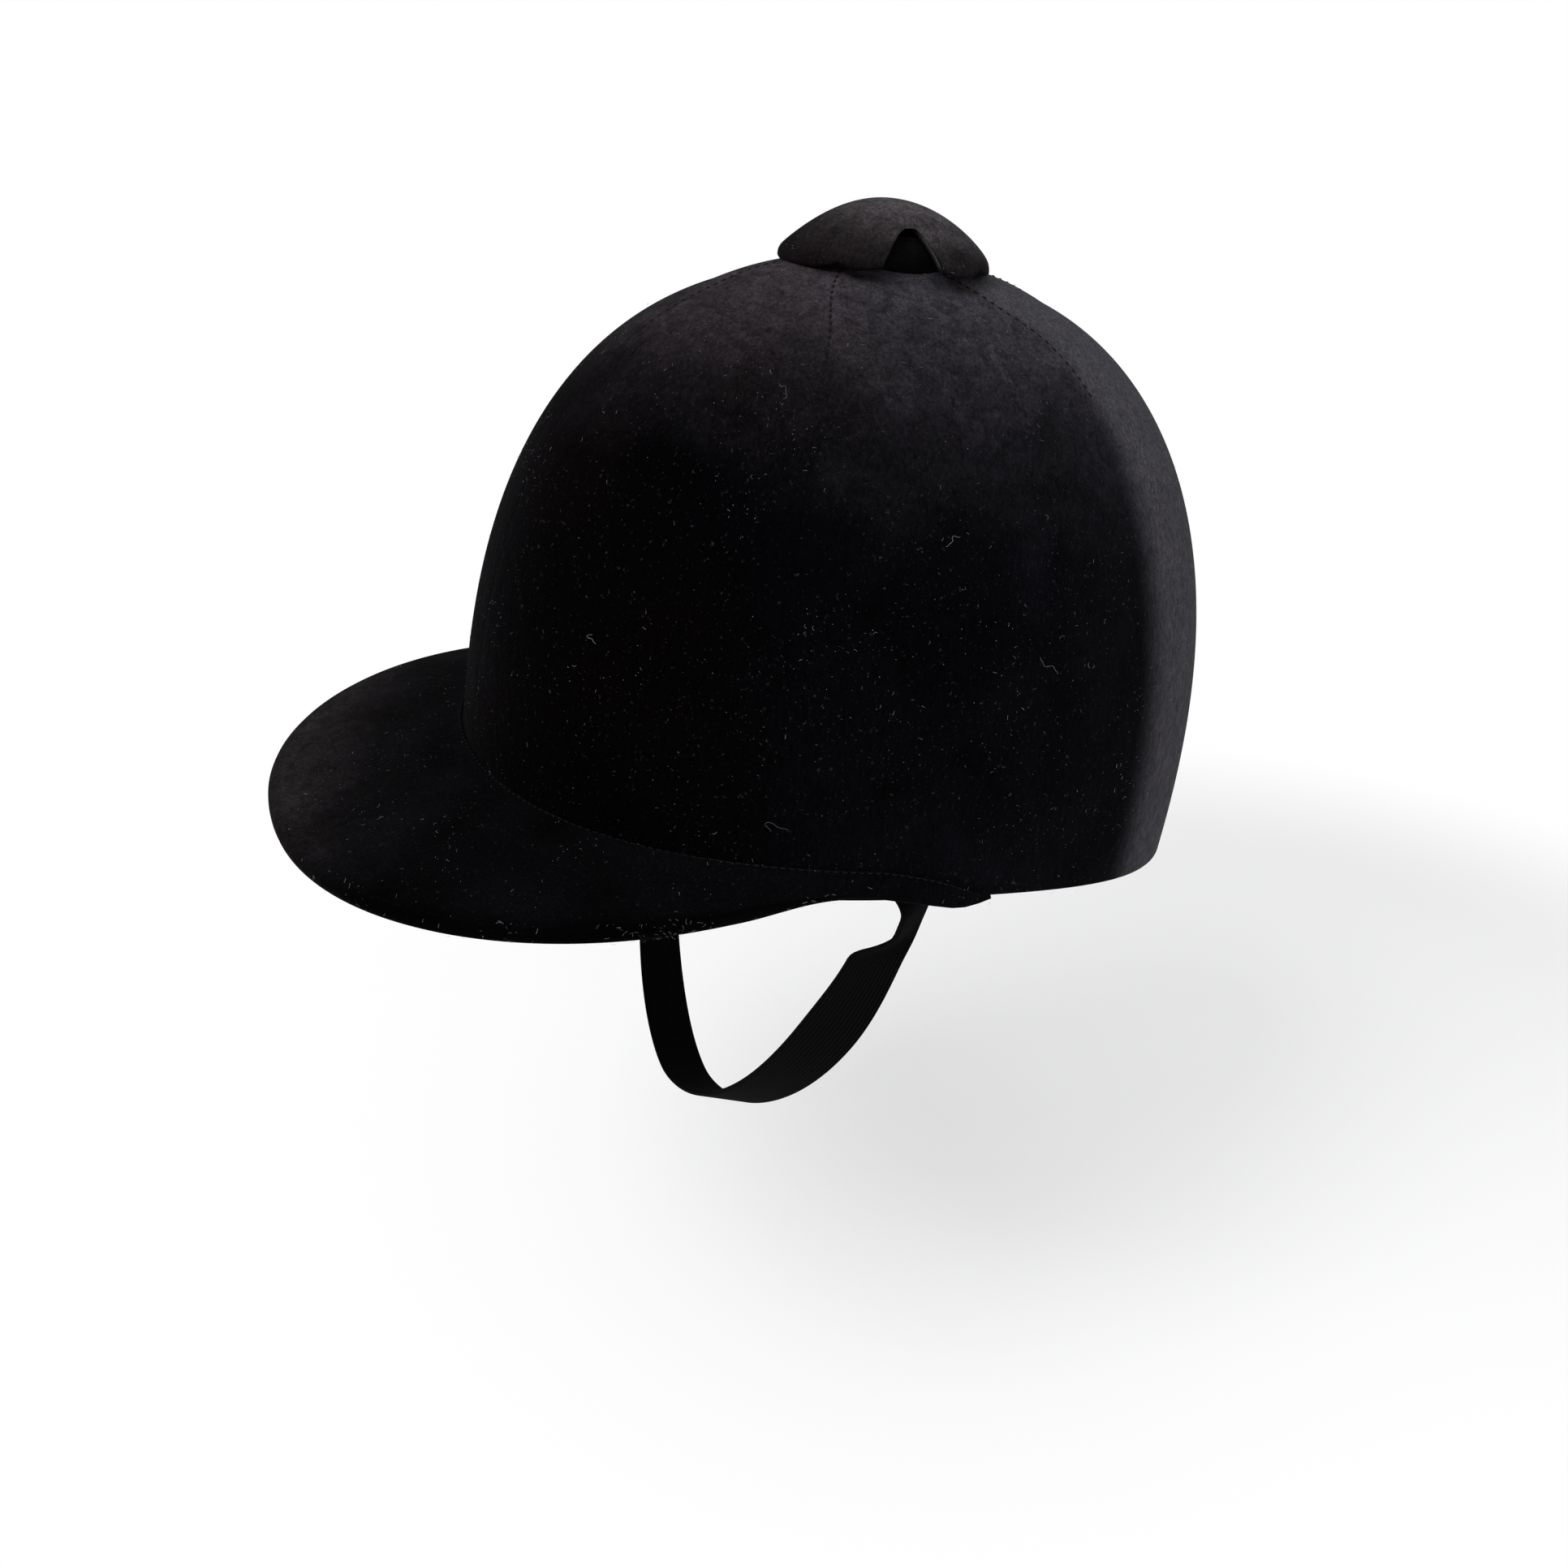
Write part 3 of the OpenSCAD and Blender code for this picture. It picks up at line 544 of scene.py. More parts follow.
def turning_ring(angle):
    """Section of the turned edge: how deep and how high each point stands, and its share of the
    way up inside the shell."""
    flat = turned_in + velvet_thick - 0.0007 * abs(sin_of(angle)) ** 8
    low = turned_low
    section = [(0.0011, -0.0003, 0), (0.0012, low + 0.0002, 0), (0.0022, low, 0), (0.0040, low, 0),
               (flat - 0.0007, low + 0.0001, 0), (flat - 0.0001, low + 0.0006, 0), (flat, 0, 0),
               (flat, 0, 0.5), (flat, 0, 0.92), (flat - 0.0004, 0, 0.99),
               (turned_in + 0.0001, 0, 1), (turned_in, 0, 0.9), (turned_in, -0.0001, 0),
               (0.003, -0.0001, 0)]
    return [crown_skin(angle, up * turned_up / crown_height, depth) + Vector((0, 0, lift))
            for depth, lift, up in section]


rim_rings = [turning_ring(1.5 * i) for i in range(240)]
rim = make_tube("velvet_rim", rim_rings, crown_velvet, closed=True,
                cloth=[(i / 240, 0, 0) for i, ring in enumerate(rim_rings) for point in ring])
place_piece(rim, "cap", "velvet", "rim_turning")

# Peak: a stiff fibre board, covered over the top with one piece of velvet that is sewn to the
# crown along its root. Black leathercloth lines it underneath, and a bias strip binds its edge.
peak_long, peak_turn, peak_blend, peak_end = 0.0535, 65.5, 0.008, 90
peak_drop, peak_side_rise, tail_fall, tail_curl = 0.010, 0.0075, 0.005, 0.0040
tail_from, tip_from, tip_long = 72, 88, 4
root_front, root_side, peak_slope = 0.008, 0.014, 0.27
peak_off = velvet_thick + 0.0001


def peak_reach(angle):
    width = peak_long * (1 - (abs(angle) / peak_turn) ** 2.3)
    return (width + sqrt(width * width + 4 * peak_blend ** 2)) / 2


def peak_edge_height(angle):
    return (peak_side_rise - (peak_drop + peak_side_rise) * cos_of(min(1.2 * abs(angle), 90)) ** 2
            - tail_fall * max((abs(angle) - tail_from) / (peak_end - tail_from), 0) ** 1.5
            + tail_curl * max((abs(angle) - tip_from) / tip_long, 0) ** 1.4)


def peak_root_height(angle):
    low = peak_edge_height(angle) + 0.0034 - 0.0024 * within((abs(angle) - tip_from) / tip_long)
    left = within((peak_end + 1 - abs(angle)) / 14) ** 0.8
    return low + (root_front + (root_side - root_front) * sin_of(angle) ** 2 - low) * left


def peak_skin(angle, step):
    """Skin of the peak: step 0 is at its seam on the crown and 1 at its edge."""
    root = crown_skin(angle, max(share_at(angle, peak_root_height(angle)), 0), -peak_off)
    rim_point = crown_skin(angle, 0, 0)
    corner = crown_skin(angle, 0, -peak_off - 0.0006)
    width = max(peak_reach(angle), 2 * peak_off)
    height = peak_edge_height(angle)
    edge = Vector((rim_point.x + sin_of(angle) * width, rim_point.y - cos_of(angle) * width,
                   height))
    bend = Vector((corner.x, corner.y, height + max(peak_slope * width, 0.001)))
    return (1 - step) ** 2 * root + 2 * step * (1 - step) * bend + step ** 2 * edge


def peak_point(angle, step, depth):
    along = peak_skin(angle + 1, step) - peak_skin(angle - 1, step)
    down = peak_skin(angle, step + 0.02) - peak_skin(angle, step - 0.02)
    return peak_skin(angle, step) - depth * down.cross(along).normalized()


def peak_cloth(angle, step, depth):
    """Place on the peak's velvet for its painted shade: 0 at its root, 0.8 at its edge, and more
    where it turns under. The painted shade under the edge starts sooner at the wearer's left."""
    left = within((angle - 5) / 40)
    return 0.8 * (step + 25 * depth) + 0.35 * max(step - 0.8, 0) * left, 0, 0


def skin_grids(rows, columns, rule):
    """Outer and inner grid of a sheet, from a rule that gives both points at a row and column."""
    pairs = [[rule(row, column) for column in columns] for row in rows]
    return [[[pair[side] for pair in line] for line in pairs] for side in (0, 1)]


def cover_pair(step, angle):
    """The cover's edge is tucked down at the crown and under its binding, with a low welt."""
    depth = rolled(0.0008, step, 0.03, 1.5) - ridge(0.0001, step - 0.06, 0.03)
    depth += 0.0005 * max((step - 0.985) / 0.015, 0) ** 2
    return peak_point(angle, step, depth), peak_point(angle, step, velvet_thick)


# Peak velvet: painted light makes it paler towards its front at the wearer's right, and painted
# shade darkens its root and the underside of its bound edge.
peak_velvet = velvet_finish("peak_velvet", (0.0006, 0.0006, 0.0008), (0.0034, 0.0031, 0.0042),
                            (0.0300, 0.0255, 0.0275), (-0.35, -0.94, 0), 0.127, 0.170,
                            shade=((0.0, 0.15), (0.035, 1.0), (0.78, 1.0), (0.87, 0.3)))
peak_last = 92
peak_angles = [peak_last * (j / 62 - 1) for j in range(125)]
peak_steps = [0, 0.006, 0.014, 0.026, 0.045, 0.07, *(0.1 + 0.87 * k / 26 for k in range(27)),
              0.985, 0.994, 1]
peak_cover = make_sheet(
    "velvet_peak", *skin_grids(peak_steps, peak_angles, cover_pair), peak_velvet,
    cloth=[peak_cloth(angle, step, 0) for step in peak_steps for angle in peak_angles])
place_piece(peak_cover, "cap", "velvet", "peak_cover")
sew("peak_stitches", "velvet", 0.0024, 0.0017, 0.0004,
    [peak_point(angle, 0.002, 0.0002) for angle in range(-88, 89)])

board = Finish("board_finish", 0.8)
fibres = board.noise(700, 5, 1.0)
board.feed("Base Color", board.ramp(fibres, (0.3, (0.10, 0.07, 0.045)), (0.7, (0.22, 0.16, 0.10))))
board.bump((fibres, 0.0002))


def dress_node(name, finish):
    """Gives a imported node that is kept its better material."""
    for slot in nodes[name].material_slots:
        slot.material = finish


dress_node("peak_board", board.material)


def leather_finish(name, deep, light, roughness, grain):
    """Grained hide or leathercloth: small pebbles with creases between them, bumped and darkened
    with painted shade.
    """
    hide = Finish(name, roughness, Specular_Ior_Level=0.25)
    cells = hide.add("ShaderNodeTexVoronoi", {"feature": "DISTANCE_TO_EDGE", "Scale": grain},
                     vector=hide.place)
    pebbles = hide.ramp(cells, (0.0, 0.0), (0.16, 1.0))
    wear = hide.noise(60, 4)
    colour = hide.ramp(wear, (0.3, deep), (0.7, light))
    # Painted shade in the creases between the pebbles.
    hide.feed("Base Color", hide.mix("MULTIPLY", 0.6, colour, pebbles))
    hide.feed("Roughness", hide.ramp(wear, (0.3, roughness), (0.7, roughness - 0.15)))
    hide.bump((pebbles, 0.00012), (hide.noise(2500), 0.00005))
    return hide.material


under_finish = leather_finish("under_finish", (0.004, 0.004, 0.005), (0.012, 0.012, 0.013), 0.7,
                              900)
under_out, under_in = 0.0030, 0.0036


def peak_wall_point(angle, depth):
    """Inner edge of the peak's layers, close to the crown's wall."""
    height = peak_edge_height(angle) + peak_slope * peak_reach(angle) - depth
    point = crown_skin(angle, max(share_at(angle, height), 0), -0.0002)
    point.z = height
    return point


def under_grid(depth):
    angles = range(-60, 61, 2)
    inner_row = [peak_wall_point(angle, depth) for angle in angles]
    rows = [[peak_point(angle, 3 / 7 + 4 / 7 * k / 16, depth) for angle in angles]
            for k in range(17)]
    return [[a.lerp(b, k / 4) for a, b in zip(inner_row, rows[0])] for k in range(4)] + rows


peak_under = make_sheet("peak_underside", under_grid(under_out), under_grid(under_in), under_finish)
place_piece(peak_under, "cap", "underside", "peak_lining")

bind_under, bind_low, binding_end = under_in + 0.0001, under_in + 0.0001 + 0.0008, 72


def binding_depth(angle, depth):
    """The binding lies close under the velvet where the board and the lining have ended."""
    part = within((abs(angle) - 60) / (binding_end - 60))
    return min(depth, 0.0006 + (depth - 0.0006) * (1 - 0.774 * part * part * (3 - 2 * part)))


binding_section = (
    (0.985, 0.0005), (0.996, 0.0001), (1.004, 0.0001), (1.012, 0.0004), (1.020, 0.0010),
    (1.025, 0.0018), (1.027, 0.0028), (1.026, bind_under), (1.021, bind_under + 0.0005),
    (1.012, bind_low), (0.95, bind_low), (0.91, bind_under + 0.0007), (0.9, bind_under + 0.0003),
    (0.905, bind_under), (0.96, bind_under), (1.003, bind_under), (1.003, 0.0012))
binding_angles = range(-binding_end, binding_end + 1)
binding_rings = [[peak_point(angle, step, binding_depth(angle, depth))
                  for step, depth in binding_section] for angle in binding_angles]
binding = make_tube("velvet_binding", binding_rings, peak_velvet, cloth=[
    peak_cloth(angle, step, depth) for angle in binding_angles for step, depth in binding_section])
place_piece(binding, "cap", "binding", "peak_binding")
sew("binding_stitches", "binding", 0.003, 0.0024, 0.0004,
    [peak_point(angle / 2, 0.925, binding_depth(angle / 2, bind_low))
     for angle in range(-138, 139)])

# Button: a hollow moulded core with velvet drawn over it, cut into an arched vent at each side and
# small scallops over the seams. A brass insert in its post takes the screw from inside, and a ring
# of black gauze in it keeps insects out of the air holes.
button_radius, button_height, button_skirt, button_wall = 0.031, 0.0152, 0.0030, 0.0022
vent_top, notch_rise, corner_rise, button_corner = 0.0094, 0.0024, 0.0024, 0.0014
vent_middle, vent_before, vent_behind = -7, 21.5, 12
notches, vent_corners = (-53, 37, 127, 217), (-28, 3, 152, 183)
notch_reach, corner_reach = 7, 10
core_out = velvet_thick + 0.0001
top_place = Matrix.Translation(crown_skin(0, 1, 0)) @ Matrix.Rotation(top_tip, 4, "X")


def button_skin(turn, run, depth):
    """Point of the button: run is 0 at its skirt's foot and 1 at its top. Its back is fuller."""
    radius, height = button_radius - depth, button_height - depth
    z = (height + button_skirt) * sin(pi / 2 * run) - button_skirt
    flatness = 0.975 + 0.075 * cos_of(turn + 114.5)
    rise = min(abs(z) / height, 1) ** (1 / flatness)
    dome = radius * sqrt(max(1 - copysign(rise, z), 0))
    out = max((radius + dome - sqrt((radius - dome) ** 2 + button_corner ** 2)) / 2, 0)
    return Vector((out * cos_of(turn), out * sin_of(turn), z))


def button_foot(turn):
    """Lower edge of the button's velvet. It rises over its vents and scallops, and is rounded at
    the corners of the vents."""
    def from_turn(other):
        return (turn - other + 180) % 360 - 180

    low = -button_skirt
    low += notch_rise * sum(exp(-abs(from_turn(notch)) / notch_reach) for notch in notches)
    low += corner_rise * sum(exp(-abs(from_turn(corner)) / corner_reach)
                             for corner in vent_corners)
    for middle in (vent_middle, vent_middle + 180):
        past = from_turn(middle)
        part = past / vent_behind if past > 0 else -past / vent_before
        if part < 1:
            low = vent_top - (vent_top + 0.0006) * part ** (2.7 if past > 0 else 3.2)
    return low


def button_grid(depth, edge):
    """Grid over the button at a depth, whose foot is raised by a width of edge."""
    grid = []
    full = button_height + button_skirt
    for row in button_rows:
        line = []
        for turn in turns:
            foot = button_foot(turn) + edge
            start = asin((foot + button_skirt) / (button_height - depth + button_skirt)) * 2 / pi
            run = start + (1 - start) * row
            above = full * (sin(pi / 2 * run) - sin(pi / 2 * start))
            roll = rolled(0.0006, above, 0.0009, 1.6) if depth == 0 else 0
            line.append(top_place @ button_skin(turn, run, depth + roll))
        grid.append(line)
    return grid


turns = sorted({round(x % 360, 3) for x in [1.5 * k for k in range(240)]
                + [other + vent_middle + 0.25 * k for other in (0, 180)
                   for k in [*range(-92, -48), *range(12, 48)]]})
button_rows = [0, 0.006, 0.014, 0.025, 0.04, 0.06, 0.085, 0.115,
               *(0.15 + 0.85 * k / 30 for k in range(31))]
# Button velvet: painted sheen and light make it paler towards its top.
button_velvet = velvet_finish("button_velvet", (0.0045, 0.0034, 0.0038), (0.0120, 0.0090, 0.0100),
                              (0.112, 0.101, 0.110), (0.0, 0.10, 0.99), 0.155, 0.174)
button_cover = make_sheet("velvet_button", button_grid(0, 0), button_grid(velvet_thick, 0),
                          button_velvet, round_about=True)
place_piece(button_cover, "cap", "velvet", "button_cover")


def hard_finish(name, colour, dark, patches, grain, relief, roughness, matter, **fixed):
    """Hard stuff: its colour darkens in patches, and its grain makes it matter and stands up."""
    stuff = Finish(name, roughness, **fixed)
    mottle, fine = stuff.noise(*patches), stuff.noise(*grain)
    stuff.feed("Base Color", stuff.ramp(mottle, (0.3, scaled(colour, dark)), (0.7, colour)))
    stuff.feed("Roughness", stuff.ramp(fine, (0.3, roughness - 0.08), (0.7, roughness + matter)))
    stuff.bump((fine, relief))
    return stuff.material


def moulded_finish(name, colour, roughness):
    """Moulded plastic with a fine spark-eroded grain and faint flow marks."""
    return hard_finish(name, colour, 0.8, (45, 3, 1.2), (1500, 3), 0.00006, roughness, 0.1,
                       Specular_Ior_Level=0.5)


def metal_finish(name, colour, roughness):
    """Turned metal with fine tool marks and a little tarnish."""
    return hard_finish(name, colour, 0.7, (240, 3), (1800, 3, 2.0), 0.00003, roughness, 0.12,
                       Metallic=1.0)


core_finish = moulded_finish("core_finish", (0.010, 0.010, 0.011), 0.6)
core_edge = 0.0004
core = make_sheet("moulded_button", button_grid(core_out, core_edge),
                  button_grid(core_out + button_wall, core_edge), core_finish, round_about=True)
place_piece(core, "cap", "core", "button_core")


def circle(count):
    """Points round a circle of radius 1."""
    return [(cos(tau * k / count), sin(tau * k / count)) for k in range(count)]


def make_lathe(name, section, finish):
    """Ring or post turned about the button's axis, from a closed section of radii and heights."""
    rings = [[top_place @ Vector((r * c, r * s, z)) for r, z in section] for c, s in circle(48)]
    return make_tube(name, rings, finish, closed=True)


post_section = [(0.0036, -0.0012), (0.0066, -0.0012), (0.0070, -0.0008), (0.0070, 0.0115),
                (0.0075, 0.0119), (0.0036, 0.0119)]
place_piece(make_lathe("moulded_post", post_section, core_finish), "cap", "core")
gauze = Finish("gauze_finish", 0.9, Specular_Ior_Level=0.05)
weave = gauze.add("ShaderNodeTexVoronoi", {"feature": "DISTANCE_TO_EDGE", "Scale": 1300.0},
                  vector=gauze.place)
gauze.feed("Base Color", gauze.ramp(weave, (0.05, (0.004, 0.004, 0.0045)),
                                    (0.3, (0.0006, 0.0006, 0.0007))))
gauze.bump((weave, 0.0002))
gauze_section = [(0.0182, -0.0036), (0.0186, -0.0036), (0.0176, 0.0066), (0.0172, 0.0066)]
place_piece(make_lathe("gauze_ring", gauze_section, gauze.material), "cap", "core")

dress_node("shell", moulded_finish("shell_finish", (0.030, 0.030, 0.032), 0.55))
dress_node("button_insert", metal_finish("brass_finish", (0.72, 0.50, 0.22), 0.3))
steel_finish = metal_finish("steel_finish", (0.62, 0.62, 0.64), 0.34)
dress_node("button_screw", steel_finish)
dress_node("button_washer", steel_finish)


# Lint and loose hairs: pale cotton threads and dust that cling to the pile in patches, and short
# fibres that fray from the peak's bound edge at the wearer's left.
hairs, given = start_rule("hairs_on_velvet", ("Velvet", "Geometry"), ("Density", "Float"),
                          ("Bow", "Float"), ("Sweep", "Float"), ("Steps", "Int"),
                          ("Thickness", "Float"), ("Seed", "Int"), ("Fibre", "Material"))
patches = add_node(hairs, "ShaderNodeTexNoise", {"Scale": 38.0, "Detail": 2.0})
thick_lint = add_node(hairs, "ShaderNodeMapRange", {
    "From Min": 0.42, "From Max": 0.64, "To Min": 0.12, "To Max": 2.6}, value=patches)
many = add_node(hairs, "ShaderNodeMath", {"operation": "MULTIPLY"}, _0=given["Density"],
                _1=thick_lint)
spots = add_node(hairs, "GeometryNodeDistributePointsOnFaces", mesh=given["Velvet"], density=many,
                 seed=given["Seed"])
arc = add_node(hairs, "GeometryNodeCurveArc", radius=given["Bow"], sweep_angle=given["Sweep"],
               resolution=given["Steps"])
hair_round = add_node(hairs, "GeometryNodeCurvePrimitiveCircle", {"Resolution": 4},
                      radius=given["Thickness"])
hair = add_node(hairs, "GeometryNodeCurveToMesh", {"Fill Caps": True}, curve=arc,
                profile_curve=hair_round)
spin = add_node(hairs, "FunctionNodeRandomValue", {
    "data_type": "FLOAT_VECTOR", 0: (-0.3, -0.3, 0.0), 1: (0.3, 0.3, 6.28)}, seed=given["Seed"])
spin_turn = add_node(hairs, "FunctionNodeEulerToRotation", euler=spin)
lying = add_node(hairs, "FunctionNodeRotateRotation", {"rotation_space": "LOCAL"},
                 rotation=spots.outputs["Rotation"], rotate_by=spin_turn)
size = add_node(hairs, "FunctionNodeRandomValue", {"data_type": "FLOAT", 2: 0.35, 3: 1.5},
                seed=given["Seed"])
strewn = add_node(hairs, "GeometryNodeInstanceOnPoints", points=spots, instance=hair,
                  rotation=lying, scale=size.outputs[1])
end_rule(hairs, strewn, given["Fibre"])

lint = Finish("lint_finish", 0.9, Sheen_Weight=0.3)
lint.feed("Base Color", lint.ramp(lint.noise(60), (0.35, (0.07, 0.07, 0.085)),
                                  (0.65, (0.29, 0.28, 0.30))))


def join_meshes(name, pieces, least_x=-1.0):
    """One mesh of some pieces, without what lies further to the wearer's right than least_x."""
    work = bmesh.new()
    for piece in pieces:
        work.from_mesh(piece.data)
    bmesh.ops.delete(work, geom=[v for v in work.verts if v.co.x < least_x], context="VERTS")
    joined = bpy.data.meshes.new(name)
    work.to_mesh(joined)
    work.free()
    return joined


lint_source = join_meshes("lint_source", gores + [peak_cover, button_cover])
frayed_source = join_meshes("frayed_source", [binding], 0.02)
for name, source, density, bow, sweep, steps, thick, seed in (
        ("lint_curls", lint_source, 1500.0, 0.0006, 2.6, 10, 0.00002, 3),
        ("lint_hairs", lint_source, 16000.0, 0.0020, 0.42, 5, 0.000018, 8),
        ("lint_dust", lint_source, 30000.0, 0.00012, 1.6, 3, 0.00004, 5),
        ("frayed_edge", frayed_source, 170000.0, 0.0012, 0.9, 4, 0.00002, 11)):
    place_piece(grow_piece(name, hairs, source, density=density, bow=bow, sweep=sweep, steps=steps,
                           thickness=thick, seed=seed, fibre=lint.material), "cap", "velvet")

# Each loose thread: the angle and share of the crown where it starts, its length and its wave
thread_radius, thread_lift, thread_steps = 0.00003, -0.0002, 40
for k, (angle, share, long, wave) in enumerate((
        (53, 0.82, 0.007, 2.2), (98, 0.42, 0.009, 3.1), (64, 0.13, 0.010, 1.7),
        (84, 0.64, 0.006, 2.7), (30, 0.40, 0.006, 2.0), (215, 0.55, 0.008, 2.4),
        (286, 0.60, 0.009, 1.9), (330, 0.72, 0.007, 2.9))):
    heading, rings = 1.1 * k, []
    for i in range(thread_steps + 1):
        heading += 0.20 * sin(0.13 * wave * i + k) + 0.12 * sin(0.05 * wave * i)
        angle += degrees(long / thread_steps * cos(heading) / 0.1)
        share += long / thread_steps * sin(heading) / 0.2
        centre = crown_skin(angle, share, thread_lift)
        out = (centre - crown_skin(angle, share, 0.002)).normalized()
        ahead = crown_skin(angle + 0.1 * cos(heading), share + 0.001 * sin(heading),
                           thread_lift) - centre
        side = out.cross(ahead.normalized())
        rings.append([centre + thread_radius * (c * out + s * side) for c, s in circle(5)])
    place_piece(make_tube(f"lint_thread_{k + 1}", rings, lint.material), "cap", "velvet")

# Foam pads: five pieces of moulded open-cell foam between the shell and the lining, one at the
# front, one at the back, one over each ear and one in the crown. Their edges are pinched round.
foam = Finish("foam_finish", 0.95, Specular_Ior_Level=0.2, Subsurface_Weight=0.1)
cells = foam.add("ShaderNodeTexVoronoi", {"Scale": 1400.0}, vector=foam.place)
stain = foam.noise(35, 4)
# Painted shade darkens the hollows of the cells; the stain is the foam's own yellowed tone.
foam.feed("Base Color", foam.mix(
    "MULTIPLY", 0.5, foam.ramp(stain, (0.3, (0.50, 0.44, 0.31)), (0.7, (0.66, 0.60, 0.46))),
    foam.ramp(cells, (0.1, 0.45), (0.5, 1.0))))
foam.bump((cells, 0.0003), (stain, 0.0006))
pad_out, pad_in = 0.0051, 0.0146
pad_middle = (pad_out + pad_in) / 2
pad_low, pad_high, side_pad_height = 0.006, 0.044, 0.034
crown_pad_low, crown_pad_high, crown_pad_wide = 0.66, 0.94, 0.055
rivet_front, strap_pocket = 0.017, 0.046


def pinch(place, width, roundness=0.0045):
    """Share of a pad's thickness that is left this far along its width, 1 away from its edges."""
    near = min(place, width - place) / roundness
    return 1.0 if near >= 1 else sqrt(max(1 - (1 - near) ** 2, 0))


def pad_pair(angle, share, full, outer_edge, inner_edge, dent=0):
    """Both faces of a pad, where it has its full thickness or a share of it."""
    outer = pad_middle - (pad_middle - pad_out) * (outer_edge + (1 - outer_edge) * full)
    inner = pad_middle + (pad_in - pad_middle) * (inner_edge + (1 - inner_edge) * full) - dent
    return crown_skin(angle, share, outer), crown_skin(angle, share, inner)


def pad_grids(first, last, low, high, columns, rows):
    width = radians(last - first) * crown_length / 2

    def wall_pair(i, j):
        angle, height = first + (last - first) * j / columns, low + (high - low) * i / rows
        full = min(pinch(j / columns * width, width), pinch(i / rows * (high - low), high - low))
        dent = abs(0.0003 * sin(angle * 0.9) * sin(height * 260))
        return pad_pair(angle, height / crown_height, full, 0.25, 0.15, dent)

    return skin_grids(range(rows + 1), range(columns + 1), wall_pair)


def crown_pad_pair(i, j):
    step = crown_pad_low + (crown_pad_high - crown_pad_low) * i / 20
    return pad_pair(5 * j, climb(step), pinch(i / 20 * crown_pad_wide, crown_pad_wide), 0.3, 0.2)


def angle_at(y):
    """Angle on the wearer's left at which the crown's rim is at this place front to back."""
    forward = (-widest_front - y) / (crown_length / 2)
    return degrees(acos(signed_power(forward, plan_round / 2)))


pocket_front = angle_at(-rivet_front - strap_pocket)
pocket_back = angle_at(-rivet_front + strap_pocket)
side_top = pad_high + side_pad_height
for name, grids in (
        ("front_pad", pad_grids(-pocket_front, pocket_front, pad_low, pad_high, 72, 20)),
        ("back_pad", pad_grids(pocket_back, 360 - pocket_back, pad_low, pad_high, 90, 20)),
        ("left_pad", pad_grids(pocket_front + 1, pocket_back - 1, pad_high, side_top, 40, 18)),
        ("right_pad", pad_grids(361 - pocket_back, 359 - pocket_front, pad_high, side_top, 40, 18)),
        ("crown_pad", skin_grids(range(21), range(72), crown_pad_pair))):
    pad = make_sheet("foam_" + name, *grids, foam.material, round_about=name == "crown_pad")
    place_piece(pad, "cap", "foam", name)

# Lining: dark red satin in two pieces. The side piece stands in soft pleats that a lace draws in
# at its top, and the quilted tip closes the crown above it.
lining_out, lining_in = 0.0152, 0.0158
lining_low, lining_top, casing_fall, lace_fall = 0.075, 0.715, 0.015, 0.02
side_rows, tip_rows, quilting = 60, 56, 130


def satin_finish(name, deep, light):
    """Warp-faced satin: fine threads up the cloth and a soft directional shine."""
    cloth = Finish(name, 0.42, Specular_Ior_Level=0.5, Anisotropic=0.4, Sheen_Weight=0.25,
                   Sheen_Roughness=0.3)
    upward = cloth.add("ShaderNodeMapping", {"Scale": (2600, 2600, 260)}, vector=cloth.place)
    threads, slubs = cloth.noise(1.0, 2, place=upward), cloth.noise(320, 3, 1.0)
    colour = cloth.ramp(slubs, (0.3, deep), (0.72, light))
    cloth.feed("Base Color", cloth.mix("MULTIPLY", 0.45, colour,
                                       cloth.ramp(threads, (0.3, 0.5), (0.7, 1.0))))
    cloth.bump((threads, 0.00006), (slubs, 0.0002))
    return cloth.material


def pleated_pair(i, j):
    """The side piece is plain at its foot and stands in pleats towards its casing."""
    rise, angle = i / side_rows, j / 2
    step = lining_low + (lining_top - casing_fall - lining_low) * i / side_rows
    wander = 0.8 * sin_of(7 * angle)
    pleat = 0.5 + 0.5 * sin(radians(54 * angle) + wander + 2 * rise)
    billow = max((0.0001 + 0.0014 * rise ** 1.5) * pleat
                 + 0.0003 * sin(radians(9 * angle) + 5 * rise), 0)
    return [crown_skin(angle, climb(step), depth + billow) for depth in (lining_out, lining_in)]


def quilted_pair(i, j):
    """The tip puffs up between the crossing lines of its quilting."""
    angle, share = 1.5 * j, climb(lining_top + (1 - lining_top) * i / tip_rows)
    flat = crown_skin(angle, share, lining_in)
    one_way, other_way = ((flat.x + sign * flat.y) * quilting for sign in (1, -1))
    full = abs(sin(one_way)) * abs(sin(other_way))
    puff = 0.0011 * sqrt(full) * min(i / 4, 1)
    return crown_skin(angle, share, lining_out), crown_skin(angle, share, lining_in + puff)


satin = satin_finish("satin_finish", (0.050, 0.008, 0.012), (0.105, 0.018, 0.024))
grids = skin_grids(range(side_rows + 1), range(720), pleated_pair)
side_lining = make_sheet("satin_side_lining", *grids, satin, round_about=True)
place_piece(side_lining, "cap", "satin", "side_lining")
grids = skin_grids(range(tip_rows + 1), range(240), quilted_pair)
tip_lining = make_sheet("satin_tip_lining", *grids, satin, round_about=True)
place_piece(tip_lining, "cap", "satin", "tip_lining")

